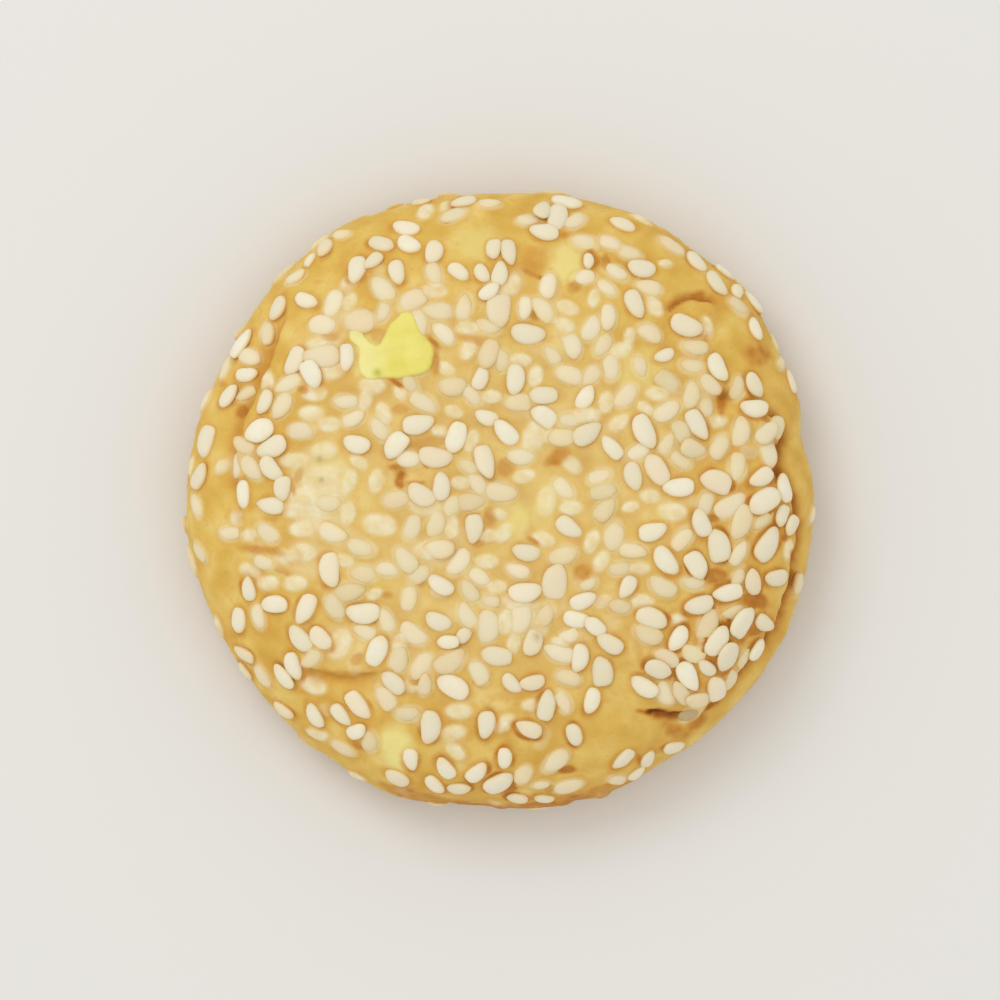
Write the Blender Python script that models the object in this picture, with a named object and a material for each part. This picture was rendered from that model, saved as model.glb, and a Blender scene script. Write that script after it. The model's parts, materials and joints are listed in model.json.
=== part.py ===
"""Sesame biscuit: one baked piece of dough, domed on top and flat underneath, with hulled sesame seeds
pressed into its top and side and one pale flake lying in the crust. Metres, +Z up. The origin is the
middle of the flat underside, so the biscuit rests on z = 0."""

import math
import random

import bmesh
import bpy
import numpy as np
from mathutils import Matrix, Vector, noise
from mathutils.bvhtree import BVHTree

MM = 0.001

# Driving sizes of the dough, in millimetres
RIM_RADIUS = 32.7
HEIGHT = 15.8
WIDEST_HEIGHT = 5.2
FOOT_RADIUS = 28.2
TOP_SQUARENESS = 3.4  # 2 gives an elliptical dome, more gives a flatter top with a tighter shoulder
PROFILE_STEPS = 240

# The outline isn't a true circle: each swell is (bearing in degrees, half width in degrees, height in mm)
OUTLINE_SWELLS = (
    (2, 9, 0.25),
    (11, 4, -0.60),
    (24, 11, 0.30),
    (40, 9, 0.70),
    (62, 14, 0.45),
    (91, 16, -0.50),
    (121, 7, 0.60),
    (136, 8, 0.20),
    (150, 11, -0.50),
    (183, 16, 0.15),
    (220, 16, -0.40),
    (250, 6, 0.50),
    (266, 12, -0.60),
    (290, 6, 0.20),
    (302, 5, -0.25),
    (335, 18, 0.35),
)

# Unevenness of the crust: (size across in mm, height in mm)
CRUST_LUMPS = ((17.0, 0.75), (7.5, 0.42))
LUMP_SEED = Vector((3.1, 7.4, 1.9))
LUMPS_START_HEIGHT = 1.0
LUMPS_FULL_HEIGHT = 13.0

# Folds in the crust: a groove along a path seen from above, with a raised lip beside it: on the path's
# left where side is 1, on its right where side is -1
FOLD_TAPER = 6  # each end fades out over one part in so many of the fold's length
FOLDS_START_HEIGHT = 4.2
FOLDS_FULL_HEIGHT = 6.2
FOLDS = (
    # the edge of the seeded crust, which stands over a bare band of dough on the right
    {"path": ((24.7, 12.5), (27.4, 10.4), (29.7, 7.1), (28.8, 3.6), (30.6, 1.0), (31.4, -2.5),
              (31.6, -7.0), (30.4, -11.5), (27.7, -15.5), (25.0, -18.2), (22.6, -20.9), (19.6, -22.9),
              (15.4, -22.2)),
     "depth": 1.20, "width": 0.95, "lip": 0.50, "lip_width": 2.2, "side": -1},
    {"path": ((17.4, 19.3), (18.6, 20.3), (20.1, 21.1), (23.3, 20.7)),
     "depth": 1.10, "width": 0.90, "lip": 0.40, "lip_width": 1.8, "side": -1},
    {"path": ((-21.9, 21.6), (-24.9, 13.0), (-26.8, 8.7), (-27.7, 6.0), (-27.6, 1.5), (-26.6, -4.0)),
     "depth": 0.60, "width": 1.10, "lip": 0.30, "lip_width": 2.0, "side": 1},
    {"path": ((-21.6, -17.4), (-18.8, -18.4), (-15.5, -18.6), (-11.8, -18.0)),
     "depth": 0.70, "width": 0.95, "lip": 0.35, "lip_width": 2.0, "side": 1},
)
# Small holes baked into the crust: (x, y, radius, depth)
PITS = (
    (-10.2, 2.7, 1.1, 0.9),
    (23.7, 11.2, 1.0, 0.9),
    (3.8, 24.4, 1.5, 0.5),
    (9.4, 3.4, 1.5, 0.5),
    (-3.6, -14.6, 1.4, 0.5),
)

# Hulled sesame seeds, lying flat and pressed in so that SEED_PROUD of their thickness stands out
SEED_LENGTH = 3.05
SEED_WIDTH = 1.95
SEED_THICKNESS = 0.95
SEED_PROUD = 0.52
SEED_SIZES = (0.92, 1.10)
SEED_COUNT = 180
SEED_PLACES = 14  # places drawn for each seed, of which the roomiest is taken
SEED_DRAW = 4127
SEED_GAP = 0.12
SEED_LOWEST = 3.6
# How thick the seeds lie, seen from above: (x, y, radius, share of the seeds kept there)
PATCH_CORE = 0.5  # the part of a patch's radius that is barest, from where it fades over one radius more
BARE_PATCHES = (
    (14.5, -26.0, 6.0, 0.10),
    (21.5, -26.0, 5.0, 0.05),
    (30.5, 9.0, 4.5, 0.10),
    (27.5, 15.0, 3.5, 0.30),
    (32.0, -7.0, 2.5, 0.10),
    (18.0, 24.0, 3.5, 0.30),
    (-5.0, 27.0, 4.0, 0.35),
    (4.0, 26.0, 3.2, 0.25),
    (-28.5, 6.0, 2.6, 0.35),
    (-24.5, 17.5, 3.0, 0.45),
    (-27.0, -8.0, 3.2, 0.35),
    (-26.0, -16.0, 3.0, 0.25),
    (-16.0, -25.0, 3.0, 0.50),
    (14.5, 15.0, 4.0, 0.45),
    (3.6, -3.0, 3.0, 0.45),
    (-9.0, -9.0, 3.5, 0.50),
)
SIDE_SHARE = 0.55
SIDE_TOP = 10.5

# The pale flake: outline seen from above, and how far it stands over the crust
FLAKE_OUTLINE = (
    (-10.5, 19.1), (-8.9, 19.4), (-8.1, 17.4), (-6.9, 15.5), (-7.2, 13.8), (-8.1, 13.0), (-10.6, 13.0),
    (-12.4, 13.5), (-14.9, 13.1), (-15.0, 15.4), (-15.4, 17.2), (-13.9, 17.4), (-12.3, 16.3), (-11.4, 18.4),
)
FLAKE_PROUD = 0.42
FLAKE_CROWN = 0.1
FLAKE_DEPTH = 0.9

BALL_CUTS = 13  # cuts in each edge of the twenty-sided ball whose triangles the dough takes
BALL_FOOT_ANGLE = 128  # degrees from the ball's top down to where the underside begins
SEARCH_HEIGHT = 3.0  # how far over the crust a search for its surface starts

CRUST_COLOUR = (0.70, 0.42, 0.14, 1.0)


def turned_profile():
    """The half section from the middle of the top to the middle of the underside: arc length, radius,
    height and the two parts of the outward normal, as arrays."""
    upper = np.linspace(0.0, math.pi / 2, PROFILE_STEPS)
    upper_radius = RIM_RADIUS * np.sin(upper) ** (2 / TOP_SQUARENESS)
    upper_height = WIDEST_HEIGHT + (HEIGHT - WIDEST_HEIGHT) * np.cos(upper)
    lower = np.linspace(0.0, math.pi / 2, PROFILE_STEPS)[1:]
    lower_radius = FOOT_RADIUS + (RIM_RADIUS - FOOT_RADIUS) * np.cos(lower)
    lower_height = WIDEST_HEIGHT * (1 - np.sin(lower))
    foot_radius = np.linspace(FOOT_RADIUS, 0.0, PROFILE_STEPS // 4)[1:]
    radius = np.concatenate((upper_radius, lower_radius, foot_radius))
    height = np.concatenate((upper_height, lower_height, np.zeros_like(foot_radius)))
    step_out, step_up = np.gradient(radius), np.gradient(height)
    size = np.maximum(np.hypot(step_out, step_up), 1e-9)
    arc = np.concatenate(((0.0,), np.cumsum(np.hypot(np.diff(radius), np.diff(height)))))
    return {"arc": arc, "radius": radius, "height": height, "out": -step_up / size, "up": step_out / size}


PROFILE = turned_profile()
FOOT_ARC = PROFILE["arc"][-1] - FOOT_RADIUS


def smooth_step(value):
    """0 below 0, 1 above 1, and a smooth curve between."""
    held = np.clip(value, 0.0, 1.0)
    return held * held * (3 - 2 * held)


def outline_swell(bearing):
    """How far the outline stands out at a bearing in radians, in millimetres."""
    total = np.zeros_like(bearing)
    for centre, half_width, height in OUTLINE_SWELLS:
        off = (np.degrees(bearing) - centre + 180) % 360 - 180
        total += height * np.exp(-((off / half_width) ** 2))
    return total


def body_point(arc, bearing):
    """Points of the smooth body and its normals, for arc lengths from the top's middle and bearings."""
    look_up = {key: np.interp(arc, PROFILE["arc"], PROFILE[key]) for key in ("radius", "height", "out", "up")}
    share = look_up["radius"] / RIM_RADIUS
    radius = look_up["radius"] + outline_swell(bearing) * share ** 3
    points = np.stack((radius * np.cos(bearing), radius * np.sin(bearing), look_up["height"]), axis=-1)
    normals = np.stack(
        (look_up["out"] * np.cos(bearing), look_up["out"] * np.sin(bearing), look_up["up"]), axis=-1
    )
    return points, normals


def path_distance(points, path):
    """Signed distance to an open path seen from above, positive on its left, and the share of the way
    along it, as arrays."""
    path = np.array(path)
    lengths = np.hypot(*np.diff(path, axis=0).T)
    along_start = np.concatenate(((0.0,), np.cumsum(lengths)))
    best = np.full(len(points), 1e9)
    sign = np.ones(len(points))
    along = np.zeros(len(points))
    for index, length in enumerate(lengths):
        way = (path[index + 1] - path[index]) / length
        offset = points[:, :2] - path[index]
        run = np.clip(offset @ way, 0.0, length)
        away = offset - run[:, None] * way
        distance = np.hypot(away[:, 0], away[:, 1])
        nearer = distance < best
        best = np.where(nearer, distance, best)
        sign = np.where(nearer, np.sign(way[0] * offset[:, 1] - way[1] * offset[:, 0]), sign)
        along = np.where(nearer, (along_start[index] + run) / along_start[-1], along)
    return best * sign, along


def fold_relief(points):
    """Height of the folds over the smooth crust, in millimetres."""
    total = np.zeros(len(points))
    for fold in FOLDS:
        distance, along = path_distance(points, fold["path"])
        ends = smooth_step(along * FOLD_TAPER) * smooth_step((1 - along) * FOLD_TAPER)
        distance = distance * fold["side"]
        groove = -fold["depth"] * np.exp(-((distance / fold["width"]) ** 2))
        lip_offset = (distance - fold["lip_width"]) / fold["lip_width"]
        lip = fold["lip"] * np.exp(-(lip_offset ** 2))
        total += (groove + lip) * ends
    return total


def pit_relief(points):
    """Depth of the small baked holes, in millimetres."""
    total = np.zeros(len(points))
    for x, y, radius, depth in PITS:
        away = np.hypot(points[:, 0] - x, points[:, 1] - y)
        total -= depth * np.exp(-((away / radius) ** 2))
    return total


def lump_relief(points):
    """Uneven swelling of the dough, in millimetres."""
    total = np.zeros(len(points))
    for size, height in CRUST_LUMPS:
        drawn = [noise.noise(Vector(point) / size + LUMP_SEED * size) for point in points]
        total += height * np.array(drawn)
    return total


def crust_points(arc, bearing):
    """Points of the uneven crust, in millimetres. The flat underside stays flat."""
    points, normals = body_point(arc, bearing)
    height = points[:, 2]
    lumps = smooth_step((height - LUMPS_START_HEIGHT) / (LUMPS_FULL_HEIGHT - LUMPS_START_HEIGHT))
    folds = smooth_step((height - FOLDS_START_HEIGHT) / (FOLDS_FULL_HEIGHT - FOLDS_START_HEIGHT))
    relief = lump_relief(points) * lumps + (fold_relief(points) + pit_relief(points)) * folds
    return points + normals * relief[:, None]


def arc_and_bearing(directions):
    """Where each direction of a unit ball lands on the body: those down to the foot angle on the top and
    the side, the rest on the flat underside."""
    polar = np.arccos(np.clip(directions[:, 2], -1.0, 1.0))
    foot = math.radians(BALL_FOOT_ANGLE)
    upper_arc = polar / foot * FOOT_ARC
    lower_arc = FOOT_ARC + (polar - foot) / (math.pi - foot) * FOOT_RADIUS
    bearing = np.arctan2(directions[:, 1], directions[:, 0])
    return np.where(polar < foot, upper_arc, lower_arc), bearing


def make_dough():
    """The dough without its seeds: a ball of even triangles, laid over the crust."""
    built = bmesh.new()
    bmesh.ops.create_icosphere(built, subdivisions=1, radius=1.0)
    bmesh.ops.subdivide_edges(built, edges=built.edges, cuts=BALL_CUTS, use_grid_fill=True)
    bmesh.ops.triangulate(built, faces=built.faces)
    directions = np.array([vert.co.normalized() for vert in built.verts])
    points = crust_points(*arc_and_bearing(directions))
    for vert, point in zip(built.verts, points):
        vert.co = Vector(point) * MM
    built.normal_update()
    underside = [face for face in built.faces if all(vert.co.z < 1e-6 for vert in face.verts)]
    bmesh.ops.dissolve_faces(built, faces=underside, use_verts=True)
    mesh = bpy.data.meshes.new("biscuit")
    built.to_mesh(mesh)
    built.free()
    dough = bpy.data.objects.new("biscuit", mesh)
    bpy.context.scene.collection.objects.link(dough)
    return dough


def seed_share(point):
    """How thick the seeds lie at a point, from 0 to 1: thinner on the side and on the bare patches."""
    share = SIDE_SHARE if point.z < SIDE_TOP else 1.0
    for x, y, radius, kept in BARE_PATCHES:
        away = math.hypot(point.x - x, point.y - y) / radius
        share *= kept + (1 - kept) * float(smooth_step(away - PATCH_CORE))
    return share


def seed_disks(point, along, length):
    """Three disks down the length of a seed, as their middles."""
    reach = (length - SEED_WIDTH) / 2
    return [point + along * shift for shift in (-reach, 0.0, reach)]


def room_round(disks, others):
    """The least distance from a seed's disks to those of the others, less the width of a seed."""
    middle = disks[1]
    near = [other for other in others if (other[1] - middle).length < 3 * SEED_LENGTH]
    found = [(a - b).length for other in near for a in disks for b in other]
    return min(found, default=3 * SEED_LENGTH) - SEED_WIDTH


def scattered_seeds():
    """Where the seeds lie: (point, normal, direction of the seed's length, size) on the smooth body.
    Each is the roomiest of a few places drawn at random, so that they spread evenly but not in rows."""
    draw = random.Random(SEED_DRAW)
    kept, disks_kept = [], []
    for _ in range(SEED_COUNT):
        best_room, best = SEED_GAP, None
        for _ in range(SEED_PLACES):
            arc = math.sqrt(draw.random()) * FOOT_ARC
            bearing = draw.uniform(-math.pi, math.pi)
            turn = draw.uniform(0.0, 2 * math.pi)
            size = draw.uniform(*SEED_SIZES)
            points, normals = body_point(np.array((arc,)), np.array((bearing,)))
            point, normal = Vector(points[0]), Vector(normals[0]).normalized()
            if point.z < SEED_LOWEST:
                continue
            level = Vector((-math.sin(bearing), math.cos(bearing), 0.0))
            along = level * math.cos(turn) + normal.cross(level) * math.sin(turn)
            disks = seed_disks(point, along, SEED_LENGTH * size)
            room = room_round(disks, disks_kept) * seed_share(point)
            if room > best_room:
                best_room, best = room, (point, normal, along, size, disks)
        if best:
            kept.append(best[:4])
            disks_kept.append(best[4])
    return kept


def seed_mesh():
    """A low sesame seed: six points round its widest section, from the pointed tip to the blunt end, and
    a short crest above and below."""
    rim = ((-0.50, 0.0), (-0.14, 0.46), (0.30, 0.42), (0.50, 0.0), (0.30, -0.42), (-0.14, -0.46))
    crest = ((-0.20, 0.0), (0.22, 0.0))
    built = bmesh.new()
    edge = [built.verts.new((x * SEED_LENGTH, y * SEED_WIDTH, 0.0)) for x, y in rim]
    for height in (0.5, -0.5):
        front, back = (built.verts.new((x * SEED_LENGTH, 0.0, height * SEED_THICKNESS)) for x, _ in crest)
        for side in (1, -1):
            near, far = edge[side], edge[2 * side]
            built.faces.new((edge[0], near, front))
            built.faces.new((near, back, front))
            built.faces.new((near, far, back))
            built.faces.new((far, edge[3], back))
    bmesh.ops.recalc_face_normals(built, faces=built.faces)
    mesh = bpy.data.meshes.new("seed")
    built.to_mesh(mesh)
    built.free()
    mesh.transform(Matrix.Scale(MM, 4))
    return mesh


def placement(point, normal, along, size, raised):
    """The matrix that lays a seed flat, its middle so many millimetres over a point of the crust."""
    across = normal.cross(along).normalized()
    along = across.cross(normal).normalized()
    turned = Matrix((along, across, normal)).transposed().to_4x4()
    return Matrix.Translation(point + normal * raised * MM) @ turned @ Matrix.Scale(size, 4)


def make_seeds(crust, collection):
    """One object for each seed, pressed into the crust."""
    mesh = seed_mesh()
    raised = SEED_PROUD - SEED_THICKNESS / 2
    for index, (point, normal, along, size) in enumerate(scattered_seeds()):
        above = (point + normal * SEARCH_HEIGHT) * MM
        hit, hit_normal, _, _ = crust.ray_cast(above, -normal)
        if hit is None:
            continue
        leaning = (normal + hit_normal).normalized()
        seed = bpy.data.objects.new("seed_%03d" % index, mesh)
        seed.matrix_world = placement(hit, leaning, along, size, raised)
        collection.objects.link(seed)


def make_flake(crust, collection):
    """The pale flake: a thin plate whose two faces follow the crust."""
    built = bmesh.new()
    sheets = []
    for proud in (FLAKE_PROUD, -FLAKE_DEPTH):
        sheet = []
        for x, y in FLAKE_OUTLINE:
            above = Vector((x, y, HEIGHT + SEARCH_HEIGHT)) * MM
            hit = crust.ray_cast(above, Vector((0, 0, -1)))[0]
            sheet.append(built.verts.new(hit + Vector((0, 0, proud * MM))))
        sheets.append(sheet)
    middles = [sum((vert.co for vert in sheet), Vector()) / len(sheet) for sheet in sheets]
    crown = built.verts.new(middles[0] + Vector((0, 0, FLAKE_CROWN * MM)))
    keel = built.verts.new(middles[1])
    count = len(FLAKE_OUTLINE)
    for index in range(count):
        after = (index + 1) % count
        built.faces.new((sheets[0][index], sheets[0][after], crown))
        built.faces.new((sheets[1][index], sheets[1][after], keel))
        built.faces.new((sheets[0][index], sheets[0][after], sheets[1][after], sheets[1][index]))
    bmesh.ops.recalc_face_normals(built, faces=built.faces)
    bmesh.ops.triangulate(built, faces=built.faces)
    mesh = bpy.data.meshes.new("flake")
    built.to_mesh(mesh)
    built.free()
    collection.objects.link(bpy.data.objects.new("flake", mesh))


def crust_material():
    """Golden baked dough, dry and slightly sheened by fat."""
    material = bpy.data.materials.new("baked_crust")
    material.use_nodes = True
    shader = material.node_tree.nodes["Principled BSDF"]
    shader.inputs["Base Color"].default_value = CRUST_COLOUR
    shader.inputs["Roughness"].default_value = 0.62
    shader.inputs["Metallic"].default_value = 0.0
    return material


def join_toppings(dough, toppings):
    """One Boolean union fuses the seeds and the flake to the dough."""
    union = dough.modifiers.new("toppings", "BOOLEAN")
    union.operation = "UNION"
    union.operand_type = "COLLECTION"
    union.collection = toppings
    union.solver = "MANIFOLD"  # quick on so many seeds, and every solid here is closed
    graph = bpy.context.evaluated_depsgraph_get()
    fused = bpy.data.meshes.new_from_object(dough.evaluated_get(graph))
    dough.modifiers.clear()
    dough.data = fused
    fused.name = "biscuit"
    for topping in list(toppings.objects):
        bpy.data.objects.remove(topping)
    bpy.data.collections.remove(toppings)


def main():
    for existing in list(bpy.data.objects):
        bpy.data.objects.remove(existing)
    dough = make_dough()
    bpy.context.view_layer.update()
    crust = BVHTree.FromObject(dough, bpy.context.evaluated_depsgraph_get())
    toppings = bpy.data.collections.new("toppings")
    bpy.context.scene.collection.children.link(toppings)
    make_seeds(crust, toppings)
    make_flake(crust, toppings)
    join_toppings(dough, toppings)
    dough.data.materials.clear()
    dough.data.materials.append(crust_material())


main()
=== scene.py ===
import json
import math
import random

import bmesh
import bpy
import numpy as np
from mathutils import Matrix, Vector, noise
from mathutils.bvhtree import BVHTree
from mathutils.geometry import delaunay_2d_cdt
from mathutils.kdtree import KDTree

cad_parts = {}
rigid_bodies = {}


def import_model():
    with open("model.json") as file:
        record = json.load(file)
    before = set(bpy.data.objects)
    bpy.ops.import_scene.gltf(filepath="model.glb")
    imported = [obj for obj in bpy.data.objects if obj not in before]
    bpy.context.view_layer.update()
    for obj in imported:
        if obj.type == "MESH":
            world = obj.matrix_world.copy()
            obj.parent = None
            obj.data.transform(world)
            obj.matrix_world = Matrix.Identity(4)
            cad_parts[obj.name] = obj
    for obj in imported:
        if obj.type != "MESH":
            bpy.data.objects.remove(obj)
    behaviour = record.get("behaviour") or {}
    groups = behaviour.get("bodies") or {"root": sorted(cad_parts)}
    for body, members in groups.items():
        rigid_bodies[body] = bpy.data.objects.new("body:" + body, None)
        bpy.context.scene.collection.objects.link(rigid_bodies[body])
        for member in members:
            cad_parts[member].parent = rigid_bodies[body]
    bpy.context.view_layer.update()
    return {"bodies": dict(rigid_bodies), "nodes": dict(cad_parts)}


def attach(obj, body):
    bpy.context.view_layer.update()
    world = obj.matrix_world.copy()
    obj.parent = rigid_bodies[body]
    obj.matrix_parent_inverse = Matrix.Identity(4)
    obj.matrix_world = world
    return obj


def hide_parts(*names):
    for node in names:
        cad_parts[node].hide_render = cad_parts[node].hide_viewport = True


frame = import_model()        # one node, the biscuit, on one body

mm = 0.001  # the sizes below are in millimetres, from the middle of the flat underside

for obj in list(bpy.data.objects):
    if obj not in [*frame["nodes"].values(), *frame["bodies"].values()]:
        bpy.data.objects.remove(obj)


def smoothStep(value):
    held = np.clip(value, 0.0, 1.0)
    return held * held * (3 - 2 * held)


def srgb(text):
    # a hex colour as the linear numbers that a shader takes
    parts = [int(text[i:i + 2], 16) / 255 for i in (1, 3, 5)]
    linear = [part / 12.92 if part <= 0.04045 else ((part + 0.055) / 1.055) ** 2.4 for part in parts]
    return (*linear, 1.0)


def noiseAt(points, size, shift=0.0):
    # smooth noise from about -1 to 1 at each point, its lumps this many millimetres across
    away = Vector((shift, 2.3 * shift, -1.7 * shift))
    return np.array([noise.noise(Vector(point) / size + away) for point in points])


def newObject(name, points, faces, material, attributes):
    # a smooth mesh from points in millimetres, with a number at each point for each attribute
    mesh = bpy.data.meshes.new(name)
    mesh.from_pydata((np.asarray(points) * mm).tolist(), [], faces)
    mesh.update()
    mesh.shade_smooth()
    for label, values in attributes.items():
        layer = mesh.attributes.new(label, "FLOAT", "POINT")
        layer.data.foreach_set("value", np.asarray(values, dtype=np.float32))
    mesh.materials.append(material)
    made = bpy.data.objects.new(name, mesh)
    bpy.context.scene.collection.objects.link(made)
    return made


def addNode(tree, kind, output, inputs=None, stops=(), **settings):
    # a node with its settings, constants, links and colour stops; it gives one of the node's outputs
    node = tree.nodes.new("ShaderNode" + kind)
    for label, value in settings.items():
        setattr(node, label, value)
    for socket, value in (inputs or {}).items():
        if isinstance(value, bpy.types.NodeSocket):
            tree.links.new(value, node.inputs[socket])
        else:
            node.inputs[socket].default_value = value
    while stops and len(node.color_ramp.elements) < len(stops):
        node.color_ramp.elements.new(0.5)
    for index, (place, colour) in enumerate(stops):
        node.color_ramp.elements[index].position = place
        node.color_ramp.elements[index].color = srgb(colour)
    return node.outputs[output]


# a turned body with an uneven outline, folds, small holes and lumps
dough = {
    "rimRadius": 32.7,
    "height": 15.8,
    "widestHeight": 5.2,
    "footRadius": 28.2,
    "topSquareness": 3.4,  # 2 is an elliptical dome, more is a flatter top
    "profileSteps": 240,
    "ballCuts": 93,  # cuts in each edge of the twenty-sided ball that the dough is laid over
    "footAngle": 128,  # how far round the ball, from its top, the edge of the underside lies
    # each swell of the outline: bearing, half width in degrees, height
    "swells": ((2, 9, 0.25), (11, 4, -0.60), (24, 11, 0.30), (40, 9, 0.70), (62, 14, 0.45), (91, 16, -0.50),
               (121, 7, 0.60), (136, 8, 0.20), (150, 11, -0.50), (183, 16, 0.15), (220, 16, -0.40),
               (250, 6, 0.50), (266, 12, -0.60), (290, 6, 0.20), (302, 5, -0.25), (335, 18, 0.35)),
    "lumps": ((17.0, 0.75), (7.5, 0.42)),  # size across, height
    "lumpSeed": Vector((3.1, 7.4, 1.9)),
    "lumpsFrom": 1.0,  # heights between which the lumps grow to full size, and the folds
    "lumpsTo": 13.0,
    "foldsFrom": 4.2,
    "foldsTo": 6.2,
    "crumb": ((2.6, 0.13), (1.2, 0.07), (0.6, 0.03)),  # the finer unevenness of a short dough
    "wander": ((2.2, 0.38, 1.0), (0.8, 0.16, 2.0)),  # how far edges stray: size across, distance, shift
    "trayHoles": (1.3, 0.22),  # the small holes underneath: size across, depth
    "foldSides": (0.6, 1.7),  # how wide a fold is on its lip's side and on the other
}

# grooves seen from above; the raised lip is on the path's left where side is 1; each groove is painted
# darker, partly as browning and partly as painted shade in the crease
folds = (
    {"path": ((24.7, 12.5), (27.4, 10.4), (29.7, 7.1), (28.8, 3.6), (30.6, 1.0), (31.4, -2.5),
              (30.9, -6.5), (29.9, -10.8), (27.9, -14.9), (25.6, -17.0), (24.3, -19.2), (22.2, -21.5),
              (20.8, -23.2)),
     "depth": 1.10, "width": 0.45, "lip": 0.50, "lipWidth": 2.2, "side": -1, "brownedAndShaded": 0.80,
     "fades": (9.0, 1.5)},
    {"path": ((19.4, -22.5), (17.4, -22.3), (15.2, -22.1)),
     "depth": 0.90, "width": 0.36, "lip": 0.10, "lipWidth": 1.5, "side": -1, "brownedAndShaded": 0.90,
     "fades": (0.8, 1.2)},
    {"path": ((17.4, 19.3), (18.6, 20.3), (20.1, 21.1), (23.3, 20.7)),
     "depth": 0.90, "width": 0.40, "lip": 0.40, "lipWidth": 1.8, "side": -1, "brownedAndShaded": 0.60,
     "fades": (1.2, 1.2)},
    {"path": ((-21.9, 21.6), (-24.9, 13.0), (-26.8, 8.7), (-27.7, 6.0), (-27.6, 1.5), (-26.6, -4.0)),
     "depth": 0.60, "width": 0.60, "lip": 0.30, "lipWidth": 2.0, "side": 1, "brownedAndShaded": 0.35,
     "fades": (4.3, 4.3)},
    {"path": ((-21.6, -17.4), (-18.8, -18.4), (-15.5, -18.6), (-11.8, -18.0)),
     "depth": 0.70, "width": 0.60, "lip": 0.35, "lipWidth": 2.0, "side": 1, "brownedAndShaded": 0.35,
     "fades": (1.7, 1.7)},
)
# small holes: x, y, radius, depth, how much darker each is painted, partly browning and partly painted
# shade
pits = ((-10.4, 2.7, 0.7, 0.8, 0.60), (23.7, 11.0, 0.8, 0.9, 0.5), (3.8, 24.4, 1.5, 0.5, 0.15),
        (9.4, 3.4, 1.5, 0.5, 0.1), (-3.6, -14.6, 1.4, 0.5, 0.1))


def turnedProfile():
    # the half section from the middle of the top to the middle of the underside
    rim, foot, widest = dough["rimRadius"], dough["footRadius"], dough["widestHeight"]
    upper = np.linspace(0.0, math.pi / 2, dough["profileSteps"])
    upperRadius = rim * np.sin(upper) ** (2 / dough["topSquareness"])
    upperHeight = widest + (dough["height"] - widest) * np.cos(upper)
    lower = upper[1:]
    lowerRadius = foot + (rim - foot) * np.cos(lower)
    lowerHeight = widest * (1 - np.sin(lower))
    footRadius = np.linspace(foot, 0.0, dough["profileSteps"] // 4)[1:]
    radius = np.concatenate((upperRadius, lowerRadius, footRadius))
    height = np.concatenate((upperHeight, lowerHeight, np.zeros_like(footRadius)))
    stepOut, stepUp = np.gradient(radius), np.gradient(height)
    size = np.maximum(np.hypot(stepOut, stepUp), 1e-9)
    arc = np.concatenate(((0.0,), np.cumsum(np.hypot(np.diff(radius), np.diff(height)))))
    return {"arc": arc, "radius": radius, "height": height, "out": -stepUp / size, "up": stepOut / size}


profile = turnedProfile()
footArc = profile["arc"][-1] - dough["footRadius"]


def outlineSwell(bearing):
    total = np.zeros_like(bearing)
    for centre, halfWidth, height in dough["swells"]:
        off = (np.degrees(bearing) - centre + 180) % 360 - 180
        total += height * np.exp(-((off / halfWidth) ** 2))
    return total


def bodyPoint(arc, bearing):
    # points and normals of the smooth body, for arc lengths from the middle of the top and bearings
    found = {key: np.interp(arc, profile["arc"], profile[key]) for key in ("radius", "height", "out", "up")}
    radius = found["radius"] + outlineSwell(bearing) * (found["radius"] / dough["rimRadius"]) ** 3
    east, north = np.cos(bearing), np.sin(bearing)
    points = np.stack((radius * east, radius * north, found["height"]), axis=-1)
    normals = np.stack((found["out"] * east, found["out"] * north, found["up"]), axis=-1)
    return points, normals


def bodyUnder(x, y):
    # the point of the smooth top and side that shows at x, y from above
    bearing = np.array((math.atan2(y, x),))
    steps = dough["profileSteps"]
    radius = profile["radius"][:steps]
    shown = radius + outlineSwell(bearing) * (radius / dough["rimRadius"]) ** 3
    arc = np.interp(min(math.hypot(x, y), shown[-1] - 0.1), shown, profile["arc"][:steps])
    points, normals = bodyPoint(np.array((arc,)), bearing)
    return Vector(points[0]), Vector(normals[0]).normalized()


def pathDistance(points, path):
    # signed distance to an open path, positive on its left, and how far it is to the path's two ends
    path = np.array(path)
    lengths = np.hypot(*np.diff(path, axis=0).T)
    starts = np.concatenate(((0.0,), np.cumsum(lengths)))
    best, sign, along = np.full(len(points), 1e9), np.ones(len(points)), np.zeros(len(points))
    for index, length in enumerate(lengths):
        way = (path[index + 1] - path[index]) / length
        offset = points[:, :2] - path[index]
        run = np.clip(offset @ way, 0.0, length)
        away = offset - run[:, None] * way
        distance = np.hypot(away[:, 0], away[:, 1])
        nearer = distance < best
        best = np.where(nearer, distance, best)
        sign = np.where(nearer, np.sign(way[0] * offset[:, 1] - way[1] * offset[:, 0]), sign)
        along = np.where(nearer, starts[index] + run, along)
    return best * sign, along, starts[-1] - along


def foldRelief(points, wander):
    # height of the folds, and how much darker they are painted, partly browning and partly painted shade
    # in the groove; each is steep on its lip's side
    height, brownedAndShaded = np.zeros(len(points)), np.zeros(len(points))
    for fold in folds:
        distance, fromStart, toEnd = pathDistance(points, fold["path"])
        distance = distance * fold["side"] + wander
        ends = smoothStep(fromStart / fold["fades"][0]) * smoothStep(toEnd / fold["fades"][1])
        width = np.where(distance > 0, *dough["foldSides"]) * fold["width"]
        groove = np.exp(-((distance / width) ** 2))
        lip = np.exp(-(((distance - fold["lipWidth"]) / fold["lipWidth"]) ** 2))
        height += (fold["lip"] * lip - fold["depth"] * groove) * ends
        # painted shade in the groove, with some browning, darkens the colour along it
        brownedAndShaded = np.maximum(brownedAndShaded, fold["brownedAndShaded"] * groove ** 1.2 * ends)
    return height, brownedAndShaded


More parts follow.
